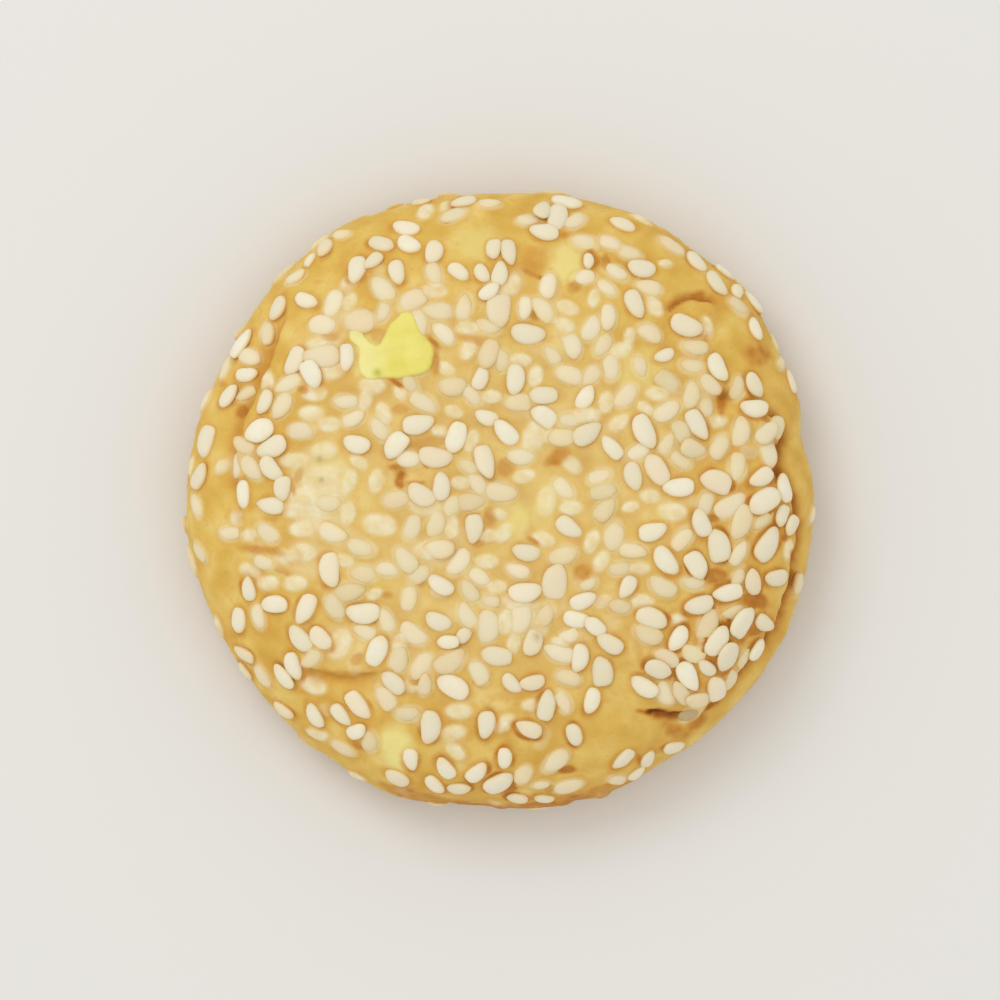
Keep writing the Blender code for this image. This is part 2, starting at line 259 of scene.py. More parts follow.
def ballFaces():
    # a ball of even triangles, as unit directions and faces
    built = bmesh.new()
    bmesh.ops.create_icosphere(built, subdivisions=1, radius=1.0)
    bmesh.ops.subdivide_edges(built, edges=built.edges, cuts=dough["ballCuts"], use_grid_fill=True)
    bmesh.ops.triangulate(built, faces=built.faces)
    directions = np.array([vert.co.normalized() for vert in built.verts])
    faces = [[vert.index for vert in face.verts] for face in built.faces]
    built.free()
    return directions, faces


def arcAndBearing(directions):
    polar = np.arccos(np.clip(directions[:, 2], -1.0, 1.0))
    foot = math.radians(dough["footAngle"])
    upper = polar / foot * footArc
    lower = footArc + (polar - foot) / (math.pi - foot) * dough["footRadius"]
    bearing = np.arctan2(directions[:, 1], directions[:, 0])
    return np.where(polar < foot, upper, lower), bearing


seeds = {
    "length": 3.05,  # a hulled sesame seed
    "width": 1.95,
    "thickness": 0.95,
    "shapes": 14,  # how many forms of seed there are, each with the next six drawn for it
    "shapeDraw": 100,
    "blunt": (0.04, 0.22),  # how much wider its round end is
    "point": (0.0, 0.55),
    "bend": (-0.08, 0.08),
    "flat": (0.92, 1.06),
    "plump": (0.84, 1.10),
    "square": (0.66, 0.98),
    "dents": (1.2, 0.10),  # size across, depth as a share of the seed
    "rings": 11,
    "sides": 14,
    "layDraw": 77,
    "proudSpread": (0.85, 1.12),
    "lean": 0.09,  # how far a seed tips any way, as a slope
    "meetAt": 0.96,  # the share of a width at which two seeds touch
    "mostLift": 0.42,  # how far one rides up on another, and how far that tilts it
    "mostTilt": 0.3,
    "ghosts": 60,
    "ghostDraw": 31,
    "ghostReach": 28.5,
    "ghostSizes": (0.8, 1.15),
    "dull": (19.9, -22.3, 0.5),  # the place of one grey seed: x, y, reach
}
# Clear seeds lie on top, soft ones are pressed in, films are under the dough's skin and ghosts deeper.
# proud, grown, cover, foot: how far one stands out, how much it is enlarged, how much the skin films it
# over and how pale its foot stays under the painted shade there. pale, swell, rim: what it does to the
# crust, as how much, from where and over what distance, in millimetres from its edge, or for a film's and
# a ghost's paleness and swell in half sizes from its middle; rim is a darker ring in the gap round it,
# partly browning and partly painted shade. lip: the height of a slight ridge round it
seedKinds = {
    "clear": {"proud": 0.55, "grown": 1.03, "cover": (0.0, 0.2), "foot": 0.0,
              "pale": (0.0, 0.0, 1.0), "swell": (0.0, 0.0, 1.0), "rim": (0.6, 0.10, 0.30), "lip": 0.07},
    "soft": {"proud": 0.27, "grown": 1.15, "cover": (0.5, 1.0), "foot": 0.22,
             "pale": (0.62, 0.08, 0.35), "swell": (0.16, 0.0, 0.5), "rim": (0.26, 0.35, 0.25), "lip": 0.0},
    "film": {"pale": (0.9, 0.75, 0.4), "swell": (0.28, 0.35, 0.8), "rim": (0.25, 0.25, 0.3), "lip": 0.0},
    "ghost": {"pale": (0.45, 0.6, 0.5), "swell": (0.112, 0.35, 0.8), "rim": (0.0, 0.0, 1.0), "lip": 0.0},
}

# the seeds that show from above: x, y, bearing of the long side, size; first those that lie on top
clearSeeds = (
    (-18.3, 26.4, 75, 0.85), (-20.2, 20.8, -20, 0.9), (-23.4, 20.2, 65, 0.95), (-26.8, 16.2, 60, 1.1),
    (-28.2, 10.8, 40, 1), (-12.5, 27.0, -15, 0.95), (-15.0, 24.1, 80, 1.05), (-13.3, 25.0, 45, 0.8),
    (-10.8, 23.8, -80, 0.95), (-10.0, 28.7, -12, 1), (-24.3, 10.1, 70, 0.85), (-26.6, 13.1, 10, 0.85),
    (-21.2, 14.4, 62, 1.05), (-19.4, 13.1, -65, 1), (-19.9, 25.2, 50, 0.6), (-8.4, 31.4, 0, 0.8),
    (-3.8, 31.2, 20, 0.95), (-9.6, 26.9, -30, 0.95), (-6.9, 25.9, 80, 0.95), (0.9, 25.9, -80, 0.95),
    (4.4, 30.0, 60, 1), (6.0, 29.6, 78, 1.1), (7.0, 31.0, -15, 1.1), (4.6, 28.0, -5, 1),
    (9.3, 25.1, 90, 0.6), (-4.3, 23.8, -35, 0.8), (-1.9, 23.6, -60, 0.75), (-1.1, 21.7, 35, 0.8),
    (0.0, 23.6, 80, 0.9), (3.0, 17.3, -5, 1.2), (1.6, 12.5, 85, 1.1), (-2.0, 12.7, 70, 0.85),
    (4.5, 10.9, 0, 1), (8.9, 10.7, 60, 0.9), (12.8, 28.9, -15, 1), (14.8, 24.2, -10, 1),
    (20.4, 24.9, -60, 1), (22.5, 22.5, -55, 1), (14.1, 20.5, -70, 1.05), (19.4, 18.1, -20, 1.15),
    (26.5, 17.9, -75, 0.9), (26.3, 20.5, -55, 0.95), (24.6, 21.7, 75, 0.75), (23.4, 23.6, -40, 0.8),
    (17.2, 15.1, 20, 0.75), (22.7, 13.8, -65, 1), (30.4, 12.4, -75, 0.9), (26.5, 12.0, -55, 0.95),
    (26.5, 9.5, -5, 1), (-30.8, 6.1, 75, 1.15), (-31.3, 2.4, 65, 1), (-25.0, 7.1, 32, 1.12),
    (-23.7, 5.4, 25, 1.15), (-26.8, 0.6, 88, 1), (-23.8, 3.2, -50, 0.95), (-23.9, -0.6, -5, 1),
    (-17.8, -7.3, -85, 1.15), (-26.4, -9.3, -85, 0.9), (-23.6, -10.9, 0, 0.95), (-20.3, -11.4, 65, 1.1),
    (-15.0, 5.8, -15, 0.95), (-10.9, 5.7, 50, 1), (-8.5, 7.9, 12, 1.1), (-4.6, 6.5, 70, 1.1),
    (-6.7, 4.4, -5, 1.15), (-6.1, 1.4, 88, 1), (-1.4, 8.6, -20, 0.9), (0.6, 7.1, -45, 1.05),
    (-1.6, 3.9, -75, 1.15), (-8.3, 0.5, -35, 1.05), (-2.7, -3.0, 88, 1), (2.7, -5.5, -12, 1),
    (7.2, -2.9, -35, 1), (-6.3, -8.9, -35, 1), (2.7, -9.7, 10, 1.15), (5.7, -8.5, 85, 1.25),
    (8.7, -10.5, 20, 0.95), (9.1, 6.9, 30, 1.12), (11.6, 5.5, -50, 0.95), (4.6, 8.8, -35, 0.95),
    (15.0, 7.0, -65, 1.25), (16.3, 3.2, -60, 1.15), (13.9, 2.5, -75, 1), (18.6, 1.3, 5, 1.1),
    (22.5, 2.0, -22, 1.12), (27.0, 2.3, 30, 0.95), (29.4, 1.2, -75, 1), (29.2, -1.6, 70, 0.8),
    (30.1, -2.6, 60, 0.75), (27.3, -0.1, 32, 1.25), (27.8, -4.6, 60, 1.3), (22.8, -4.7, -80, 1.15),
    (20.9, -2.4, -70, 1), (17.3, -6.4, -50, 1.15), (20.5, -6.8, -60, 1), (23.7, -9.7, 10, 1.05),
    (26.3, -8.5, -80, 0.95), (28.6, -8.1, 5, 0.95), (20.7, -11.0, 15, 1.05), (24.9, -12.5, 60, 1.15),
    (15.9, -3.3, 15, 1), (13.3, -9.1, 60, 0.9), (20.6, 7.8, -60, 1.1), (-27.5, -12.7, 85, 0.95),
    (-20.9, -14.5, -50, 1.1), (-18.7, -14.5, -45, 0.95), (-21.7, -17.5, -75, 1.05),
    (-22.6, -18.4, -50, 1), (-26.9, -16.2, -35, 0.9), (-26.7, -17.9, -55, 0.7),
    (-19.5, -22.6, -65, 0.95), (-22.6, -22.1, -30, 0.9), (-14.8, -21.5, -50, 1.1),
    (-16.7, -22.6, -48, 0.95), (-14.9, -24.2, 30, 0.85), (-12.8, -15.7, 70, 1.1),
    (-11.1, -19.0, -45, 0.95), (-10.8, -29.0, -30, 0.95), (-14.3, -11.9, 0, 1.15),
    (-6.5, -12.7, -25, 0.95), (-3.9, -14.2, 45, 0.7), (-5.4, -14.8, 0, 0.75), (-4.9, -19.4, -30, 1.15),
    (-0.4, -16.3, -10, 1.1), (1.2, -19.2, -45, 0.8), (3.3, -19.1, 10, 0.9), (4.9, -21.4, 80, 1.05),
    (-1.4, -23.4, 85, 1), (-7.2, -23.7, 85, 1.15), (3.0, -23.9, -20, 0.95), (0.5, -26.9, 88, 0.85),
    (7.8, -24.6, -70, 0.85), (9.6, -21.0, 75, 0.95), (10.7, -17.8, -85, 1.05), (8.4, -16.5, 80, 0.95),
    (8.0, -12.5, -10, 0.95), (9.8, -13.1, -40, 0.85), (11.4, -14.9, -30, 1), (3.5, -14.8, 75, 1),
    (-9.3, -27.0, -85, 0.85), (-5.7, -27.9, -60, 0.95), (-6.8, -29.7, -45, 0.9), (-4.3, -30.0, 5, 0.85),
    (-2.4, -28.4, 45, 0.95), (-0.1, -29.5, 30, 1.15), (1.8, -31.1, -10, 0.75), (4.6, -31.3, -10, 0.75),
    (15.8, -12.3, -20, 1.1), (18.5, -14.4, 55, 0.95), (22.5, -14.6, 60, 1.15), (23.3, -16.1, 75, 1.15),
    (21.4, -17.3, -40, 0.75), (19.4, -18.3, -65, 1.15), (22.4, -19.4, -80, 1), (16.5, -17.4, -20, 1),
    (15.0, -19.4, -30, 1.05), (26.5, -15.5, 50, 0.85), (27.4, -12.8, -33, 0.88),
    (18.1, -25.8, 10, 0.85), (12.9, -27.1, 42, 0.9), (15.4, -27.0, 70, 0.75), (14.3, -28.5, 40, 0.8),
    (-22.7, 1.2, 85, 0.85), (-0.7, 26.2, 85, 0.75), (-16.0, 14.8, 88, 0.95),
)
# then those pressed in, which the dough's skin films over at the edge
softSeeds = (
    (19.9, -22.3, 35, 0.74), (-21.5, 23.3, 20, 0.8), (-24.5, 17.6, 95, 0.85), (-26.2, 15.0, -20, 0.85),
    (-28.6, 13.8, 70, 0.9), (-12.2, 22.0, -50, 1.05), (-17.4, 20.3, 70, 1), (-18.4, 18.2, 0, 0.95),
    (-22.0, 12.0, 30, 0.9), (-22.6, 9.8, 60, 0.9), (-16.7, 27.9, 0, 0.75), (-30.7, 10.4, 60, 0.9),
    (-14.8, 18.7, -5, 1.15), (-12.1, 19.6, 75, 0.75), (-1.1, 31.0, 0, 0.75), (-4.9, 29.9, 20, 0.9),
    (3.0, 29.3, 0, 0.8), (7.8, 29.2, 25, 0.85), (8.9, 27.1, -10, 0.95), (-6.9, 23.6, -70, 0.85),
    (5.0, 22.4, 80, 0.85), (-9.3, 20.7, 30, 0.95), (-6.5, 19.6, 0, 1), (-3.7, 20.0, 80, 0.9),
    (2.6, 20.0, 85, 0.75), (-1.2, 18.0, -10, 0.8), (-1.2, 15.2, 70, 0.95), (-5.0, 11.8, 0, 0.9),
    (7.6, 16.1, -70, 0.85), (8.8, 23.3, 10, 0.75), (11.2, 22.2, -35, 0.75), (11.3, 19.0, 85, 0.85),
    (11.6, 13.8, 90, 0.9), (7.2, 13.1, -20, 0.9), (-9.3, 12.0, -60, 0.75), (17.9, 26.5, -30, 0.95),
    (13.6, 25.9, -20, 0.85), (12.3, 23.8, -30, 0.8), (15.5, 22.2, -15, 0.9), (24.8, 20.1, -40, 0.85),
    (20.3, 16.0, -10, 0.9), (20.1, 14.0, -10, 0.85), (17.6, 12.3, -40, 0.9), (20.0, 11.0, 80, 0.9),
    (22.0, 12.0, -40, 0.85), (24.9, 11.7, 80, 0.8), (1.8, 10.2, 0, 0.85), (7.2, 8.3, 0, 0.85),
    (28.7, 7.7, 60, 0.85), (25.1, 7.1, 80, 0.95), (27.8, 4.8, -75, 0.95), (24.6, 3.3, 80, 0.95),
    (24.1, -0.7, 32, 1.1), (25.1, -2.4, 70, 1.15), (24.9, -5.5, 60, 0.85), (21.4, -0.3, 70, 0.85),
    (20.1, -8.7, -10, 0.75), (24.9, -8.0, 60, 0.75), (31.3, -9.0, 80, 0.85), (19.1, -3.9, 50, 0.9),
    (16.9, -9.1, -30, 0.95), (19.0, 6.8, -70, 0.95), (17.5, 9.3, 35, 1), (22.9, 5.6, 60, 0.9),
    (14.2, 4.9, 30, 0.9), (17.4, 5.8, 60, 0.75), (20.1, 5.3, -20, 0.9), (11.9, -3.7, 85, 1),
    (11.0, -0.9, 55, 0.95), (10.4, 2.4, 20, 0.85), (10.8, 0.9, 15, 0.85), (6.6, 1.1, -45, 0.95),
    (0.1, 0.8, -10, 1.05), (-2.9, -0.2, 5, 0.95), (-9.6, 4.3, -10, 0.85), (-9.9, -6.2, -50, 1),
    (-4.3, -6.6, 50, 0.95), (-6.4, -5.1, 0, 1), (-6.6, -2.4, 80, 0.9), (-9.2, -3.0, 70, 0.9),
    (-3.2, -9.5, -55, 0.8), (-1.1, -10.6, -5, 0.75), (2.2, 4.5, 0, 0.95), (1.8, -7.4, -15, 0.8),
    (6.6, -5.8, 20, 0.95), (-26.6, 5.6, -30, 0.85), (-25.7, 3.3, -50, 0.9), (-20.7, 7.2, 0, 0.85),
    (-31.7, -0.6, -70, 0.9), (-28.3, -3.5, 0, 0.75), (-31.3, -5.4, -60, 0.75), (-24.3, -3.5, -35, 0.9),
    (-24.5, -6.6, -15, 0.75), (-14.4, -5.0, -15, 0.95), (-14.2, -7.7, -5, 0.95), (-15.7, -9.6, 10, 1),
    (-17.3, -11.2, -60, 0.9), (-12.5, 7.4, -60, 0.9), (-16.1, 10.2, 0, 0.8), (-10.8, 0.1, 10, 0.95),
    (-18.0, -0.3, 0, 0.9), (-17.5, -3.5, -20, 1), (-25.4, -12.3, -80, 0.85), (-25.0, -18.4, -60, 0.85),
    (-13.6, -25.3, 80, 0.85), (-11.9, -20.6, -60, 0.85), (-16.5, -26.2, -25, 0.85),
    (-10.6, -16.5, 80, 1), (-8.1, -17.3, 50, 1), (-5.1, -16.9, 30, 1.05), (-2.2, -17.9, -60, 0.85),
    (-9.0, -14.1, -33, 0.95), (-7.8, -19.2, 80, 0.75), (-9.6, -22.3, 5, 0.85), (-1.2, -13.3, 85, 1.1),
    (-3.5, -12.1, -60, 0.9), (2.2, -12.3, 80, 1.15), (4.8, -11.9, 60, 0.9), (7.2, -14.2, 20, 0.75),
    (6.2, -16.0, -20, 1), (7.1, -18.5, -15, 0.85), (2.4, -28.7, 60, 0.85), (21.7, -12.9, 70, 1.1),
    (24.3, -11.8, 10, 0.8), (17.3, -16.4, -30, 0.85), (17.2, -20.1, -60, 0.95),
    (18.7, -19.9, -55, 0.85), (20.2, -20.6, -10, 0.9), (25.2, -16.4, 60, 0.75), (23.9, -18.5, 75, 0.8),
    (20.0, -16.0, -25, 0.85), (15.3, -14.0, -25, 0.95), (32.7, -1.6, 80, 0.6), (29.3, 14.2, 60, 0.6),
    (-26.7, 11.1, 30, 0.7), (4.3, -29.8, 0, 0.6), (12.3, -29.3, -5, 0.7), (5.8, -27.4, 42, 1.05),
    (6.4, 6.5, 0, 0.9), (9.3, -8.8, 30, 0.6), (27.6, 6.9, 40, 0.9), (-0.2, 19.8, 85, 1.1),
    (7.2, -30.1, 15, 1), (-18.6, 14.8, 5, 1.25),
)
# and those wholly under the skin, which only swell and pale it
filmSeeds = (
    (-18.8, 15.9, 0, 1.2), (-15.7, 22.8, 50, 0.9), (-19.3, 11.1, 0, 1), (-13.3, 11.9, 0, 1),
    (-14.0, 10.5, 80, 0.8), (-5.7, 31.0, 60, 0.7), (-6.8, 21.8, 0, 0.95), (7.0, 20.1, -20, 0.9),
    (-3.4, 17.9, 0, 0.9), (-3.3, 15.7, 60, 0.9), (3.7, 12.9, 80, 0.9), (-10.4, 11.2, -50, 0.7),
    (-0.9, 10.8, 0, 0.8), (1.4, 22.6, 80, 0.9), (17.3, 24.7, 0, 0.6), (21.5, 18.0, -75, 0.8),
    (13.6, 17.1, 80, 0.7), (12.7, 15.7, 20, 0.95), (16.4, 11.1, 0, 0.9), (-12.1, 9.1, -70, 0.9),
    (-17.8, 7.9, 0, 0.9), (-19.6, 9.0, 0, 1), (-21.2, 4.1, 10, 1), (-18.3, 2.8, 0, 1.05),
    (-15.7, 2.0, 70, 0.9), (-20.6, 0.3, 0, 1.15), (-12.5, -2.6, -10, 1.35), (-12.9, 2.0, 80, 0.9),
    (-26.2, -7.4, -15, 0.9), (-24.3, -8.7, 5, 0.95), (-21.4, -8.7, 5, 0.95), (-20.7, -3.0, 0, 1),
    (-20.5, -5.5, 0, 1.15), (-13.1, -9.8, 20, 0.7), (-27.7, -2.0, -70, 0.6), (-22.2, 4.2, 30, 0.7),
    (2.6, 2.5, 10, 0.9), (7.4, -0.8, 0, 0.9), (-5.0, -2.9, 80, 0.9), (0.4, -3.4, 45, 0.9),
    (-1.3, -3.7, 10, 0.8), (0.1, -1.6, 0, 0.6), (-3.0, 6.2, 70, 0.9), (7.5, 3.7, -40, 0.9),
    (5.6, 6.6, 0, 0.9), (-1.4, -6.4, 0, 0.9), (-0.3, -9.1, 0, 0.8), (18.0, -1.2, -5, 1.1),
    (13.6, -0.7, 20, 0.7), (12.5, 8.1, 30, 0.9), (22.8, 8.2, 15, 0.8), (25.7, 4.9, 0, 0.7),
    (14.6, -7.1, 0, 0.8), (-16.7, -15.0, 60, 1.3), (-9.3, -19.4, 0, 0.8), (1.4, -15.0, 80, 0.8),
    (-4.9, -24.3, 10, 1), (3.3, -21.4, 0, 0.8), (-4.3, -22.0, 0, 1), (21.0, -15.1, 60, 0.7),
    (10.6, -6.4, 60, 0.9), (4.8, -0.1, 80, 1.2), (-22.5, -5.9, 0, 0.9), (-15.9, -1.4, 80, 0.9),
    (-10.4, -14.8, 60, 0.9), (-6.2, -9.6, 0, 0.8), (2.2, 14.6, 0, 0.8), (6.4, -14.8, 0, 0.8),
    (9.6, -4.3, 70, 0.9), (14.8, -10.6, 0, 0.9), (10.6, -10.6, 20, 0.8), (-18.4, 5.1, 10, 1.1),
    (3.5, 6.5, 80, 1.35), (-19.7, -19.5, -15, 1.1), (-32.3, 3.5, 80, 0.8), (-27.4, -1.7, 60, 0.5),
    (9.0, 8.8, 0, 1.1), (-7.8, -0.6, 0, 1.2), (-4.1, 1.8, 0, 0.8), (-0.3, -1.4, 10, 0.6),
    (1.7, -10.6, 0, 1.1), (4.3, -13.2, 60, 1), (0.6, -12.7, 80, 1), (-0.2, 22.0, 0, 1.1),
    (-7.2, -5.2, 0, 1.3), (30.0, -5.1, 80, 0.8), (-18.6, 15.4, 80, 1.3), (-17.4, 13.6, 20, 1.2),
)

# those on the side are spread by a rule: the roomiest of a few places drawn for each
scatter = {
    "count": 180,
    "places": 14,
    "draw": 4127,
    "gap": 0.12,  # the least room round one
    "lowest": 3.6,  # the height below which there are none
    "sizes": (0.92, 1.10),
    "sideShare": 0.55,  # how they are thinned below the top of the side
    "sideTop": 10.5,
    "skinFrom": 5.6,  # above this height the skin of the dough covers them
    "patchCore": 0.5,  # the share of a patch's radius where it is barest
    "mostOverlap": 0.25,  # how far one may overlap a seed placed before it
    "bareRim": (-52, 27),  # bearings between which the folded edge has none
}
# where fewer of them lie: x, y, radius, share of the seeds kept there
barePatches = ((14.5, -26.0, 6.0, 0.10), (21.5, -26.0, 5.0, 0.05), (30.5, 9.0, 4.5, 0.10),
               (27.5, 15.0, 3.5, 0.30), (32.0, -7.0, 2.5, 0.10), (18.0, 24.0, 3.5, 0.30),
               (-5.0, 27.0, 4.0, 0.35), (4.0, 26.0, 3.2, 0.25), (-28.5, 6.0, 2.6, 0.35),
               (-24.5, 17.5, 3.0, 0.45), (-27.0, -8.0, 3.2, 0.35), (-26.0, -16.0, 3.0, 0.25),
               (-16.0, -25.0, 3.0, 0.50), (14.5, 15.0, 4.0, 0.45), (3.6, -3.0, 3.0, 0.45),
               (-9.0, -9.0, 3.5, 0.50))

# smaller seeds fill the gaps between those seen from above, pressed in or under the skin
filling = {
    "count": 300,
    "places": 12,
    "draw": 58,
    "reach": 29.5,  # how far from the middle they lie
    "sizes": (0.72, 0.98),
    "mostOverlap": 0.45,
    "skinShare": 0.4,  # the share of them that the dough's skin covers
}
# where the dough shows between the seeds: x, y, radius, share of the filling seeds kept there
openDough = (
    (-11.5, 16.0, 4.6, 0.0), (5.9, 24.6, 3.4, 0.0), (-10.9, -25.8, 3.2, 0.0), (15.3, 13.8, 2.6, 0.1),
    (2.2, -1.6, 3.6, 0.1), (-16.4, -15.2, 3.4, 0.0), (-2.4, 27.8, 5.6, 0.0), (13.5, 25.5, 4.0, 0.3),
    (20.4, 22.0, 4.6, 0.0), (28.6, 13.5, 5.0, 0.1), (-29.4, -1.5, 3.4, 0.0), (-28.6, -6.5, 3.0, 0.1),
    (-12.0, -1.5, 2.6, 0.2), (-24.0, -16.4, 3.2, 0.1), (-5.5, -22.8, 3.2, 0.3), (11.0, -26.5, 5.4, 0.0),
    (13.5, -20.8, 5.2, 0.0), (18.6, -24.6, 5.2, 0.0), (-28.0, 9.0, 3.6, 0.1), (-26.5, 18.5, 3.4, 0.2),
    (-10.2, 2.7, 1.8, 0.0), (5.6, 4.2, 2.4, 0.0), (8.5, -7.6, 2.0, 0.0), (-16.2, -21.0, 3.0, 0.2),
    (-20.0, 24.0, 3.0, 0.3), (31.0, 2.0, 4.0, 0.0), (30.5, -12.0, 3.5, 0.0), (-22.0, -24.0, 4.0, 0.2),
    (3.2, 25.2, 2.8, 0.0), (-12.0, 22.6, 2.2, 0.2), (0.0, -18.2, 2.2, 0.3), (-29.5, -11.0, 3.0, 0.1),
    (24.5, 15.5, 3.6, 0.0), (22.6, -8.0, 2.2, 0.0), (-15.5, -19.6, 3.4, 0.0), (-21.0, 17.6, 2.2, 0.0),
    (-18.6, 14.8, 3.0, 0.0), (-23.5, -12.6, 1.8, 0.0), (-19.4, -24.6, 2.2, 0.0),
    (-1.8, -26.6, 1.8, 0.0), (0.1, -25.2, 1.6, 0.0), (2.6, -17.4, 1.8, 0.0), (-1.2, -20.6, 2.6, 0.0),
    (-7.8, -27.1, 2.2, 0.0), (3.3, -26.9, 1.6, 0.0), (6.6, -29.4, 1.4, 0.0), (-2.0, 27.2, 2.4, 0.0),
    (-22.9, 15.3, 2.2, 0.0), (-21.9, 19.6, 1.8, 0.0), (1.5, -21.8, 1.4, 0.0), (4.9, -25.8, 1.6, 0.0),
)


def seedAt(point, normal, along, size, kind):
    along = (along - normal * along.dot(normal)).normalized()
    return {"point": point, "normal": normal, "along": along, "across": normal.cross(along), "size": size,
            "kind": kind}


def seedFromAbove(x, y, turn, size, kind):
    point, normal = bodyUnder(x, y)
    flat = Vector((math.cos(math.radians(turn)), math.sin(math.radians(turn)), 0.0))
    rise = -(flat.x * normal.x + flat.y * normal.y) / max(normal.z, 0.35)
    return seedAt(point, normal, Vector((flat.x, flat.y, rise)), size, kind)


def seedDisks(seed):
    reach = (seeds["length"] * seed["size"] - seeds["width"]) / 2
    return [seed["point"] + seed["along"] * shift for shift in (-reach, 0.0, reach)]


def roomRound(disks, others):
    # the least distance from a seed's disks to those of the others, less the width of a seed
    near = [other for other in others if (other[1] - disks[1]).length < 3 * seeds["length"]]
    found = [(a - b).length for other in near for a in disks for b in other]
    return min(found, default=3 * seeds["length"]) - seeds["width"]


def seedShare(point, patches=barePatches):
    share = scatter["sideShare"] if point.z < scatter["sideTop"] else 1.0
    for x, y, radius, kept in patches:
        away = math.hypot(point.x - x, point.y - y) / radius
        share *= kept + (1 - kept) * float(smoothStep(away - scatter["patchCore"]))
    return share


def scatteredSeeds():
    draw = random.Random(scatter["draw"])
    kept, disksKept = [], []
    for _ in range(scatter["count"]):
        bestRoom, best = scatter["gap"], None
        for _ in range(scatter["places"]):
            arc = math.sqrt(draw.random()) * footArc
            bearing = draw.uniform(-math.pi, math.pi)
            turn = draw.uniform(0.0, 2 * math.pi)
            size = draw.uniform(*scatter["sizes"])
            points, normals = bodyPoint(np.array((arc,)), np.array((bearing,)))
            point, normal = Vector(points[0]), Vector(normals[0]).normalized()
            if point.z < scatter["lowest"]:
                continue
            level = Vector((-math.sin(bearing), math.cos(bearing), 0.0))
            along = level * math.cos(turn) + normal.cross(level) * math.sin(turn)
            seed = seedAt(point, normal, along, size, "clear")
            room = roomRound(seedDisks(seed), disksKept) * seedShare(point)
            if room > bestRoom:
                bestRoom, best = room, seed
        if best:
            kept.append(best)
            disksKept.append(seedDisks(best))
    return kept


def fillingSeeds(disks):
    draw = random.Random(filling["draw"])
    kept = []
    for _ in range(filling["count"]):
        bestRoom, best = -filling["mostOverlap"], None
        for _ in range(filling["places"]):
            away, bearing = filling["reach"] * math.sqrt(draw.random()), draw.uniform(-math.pi, math.pi)
            kind = "film" if draw.random() < filling["skinShare"] else "soft"
            seed = seedFromAbove(away * math.cos(bearing), away * math.sin(bearing), draw.uniform(0, 180),
                                 draw.uniform(*filling["sizes"]), kind)
            if draw.random() > seedShare(seed["point"], openDough):
                continue
            room = roomRound(seedDisks(seed), disks)
            if room > bestRoom:
                bestRoom, best = room, seed
        if best:
            kept.append(best)
            disks.append(seedDisks(best))
    return kept


def allSeeds():
    placed = [seedFromAbove(*row, kind) for kind, rows in
              (("film", filmSeeds), ("soft", softSeeds), ("clear", clearSeeds)) for row in rows]
    disks = [seedDisks(seed) for seed in placed]
    placed = fillingSeeds(disks) + placed
    for seed in scatteredSeeds():
        bearing = math.degrees(math.atan2(seed["point"].y, seed["point"].x))
        bare = scatter["bareRim"][0] < bearing < scatter["bareRim"][1]
        onSide = seed["point"].z < scatter["sideTop"]
        if onSide and not bare and roomRound(seedDisks(seed), disks) > -scatter["mostOverlap"]:
            seed["kind"] = "film" if seed["point"].z > scatter["skinFrom"] else "soft"
            placed.append(seed)
    draw = random.Random(seeds["ghostDraw"])
    for _ in range(seeds["ghosts"]):
        away, bearing = seeds["ghostReach"] * math.sqrt(draw.random()), draw.uniform(-math.pi, math.pi)
        ghost = seedFromAbove(away * math.cos(bearing), away * math.sin(bearing), draw.uniform(0, 180),
                              draw.uniform(*seeds["ghostSizes"]), "ghost")
        if draw.random() < seedShare(ghost["point"]):
            placed.append(ghost)
    return placed


def seedForm(shape):
    # a flattened drop, blunt at +x and pointed at -x, as points in millimetres and faces
    draw = random.Random(seeds["shapeDraw"] + shape)
    ranges = ("blunt", "point", "bend", "flat", "plump", "square")
    blunt, point, bend, flat, plump, square = [draw.uniform(*seeds[key]) for key in ranges]
    rings, sides = seeds["rings"], seeds["sides"]
    rows = []
    for ring in range(1, rings):
        turn = math.pi * ring / rings
        taper = math.sin(turn) ** (square + point * ((1 - math.cos(turn)) / 2) ** 3)
        x = math.cos(turn) * seeds["length"] / 2
        wide = taper * (1 + blunt * math.cos(turn)) * seeds["width"] / 2 * plump
        thick = taper ** 0.9 * seeds["thickness"] / 2 * flat
        for side in range(sides):
            around = 2 * math.pi * side / sides
            y = math.copysign(abs(math.cos(around)) ** 0.92, math.cos(around)) * wide
            z = math.copysign(abs(math.sin(around)) ** 0.85, math.sin(around)) * thick
            rows.append((x, y + bend * x * x, z))
    rows += [(seeds["length"] / 2, bend, 0.0), (-seeds["length"] / 2, bend, 0.0)]
    points = np.array(rows)
    dentSize, dentDepth = seeds["dents"]
    points *= 1 + dentDepth * noiseAt(points, dentSize, 3.0 + shape)[:, None]
    faces = []
    for ring in range(rings - 2):
        for side in range(sides):
            after = (side + 1) % sides
            a, b = ring * sides + side, ring * sides + after
            faces.append((a, b, b + sides, a + sides))
    last = (rings - 2) * sides
    for side in range(sides):
        after = (side + 1) % sides
        faces.append((side, len(rows) - 2, after))
        faces.append((last + side, last + after, len(rows) - 1))
    return points, faces


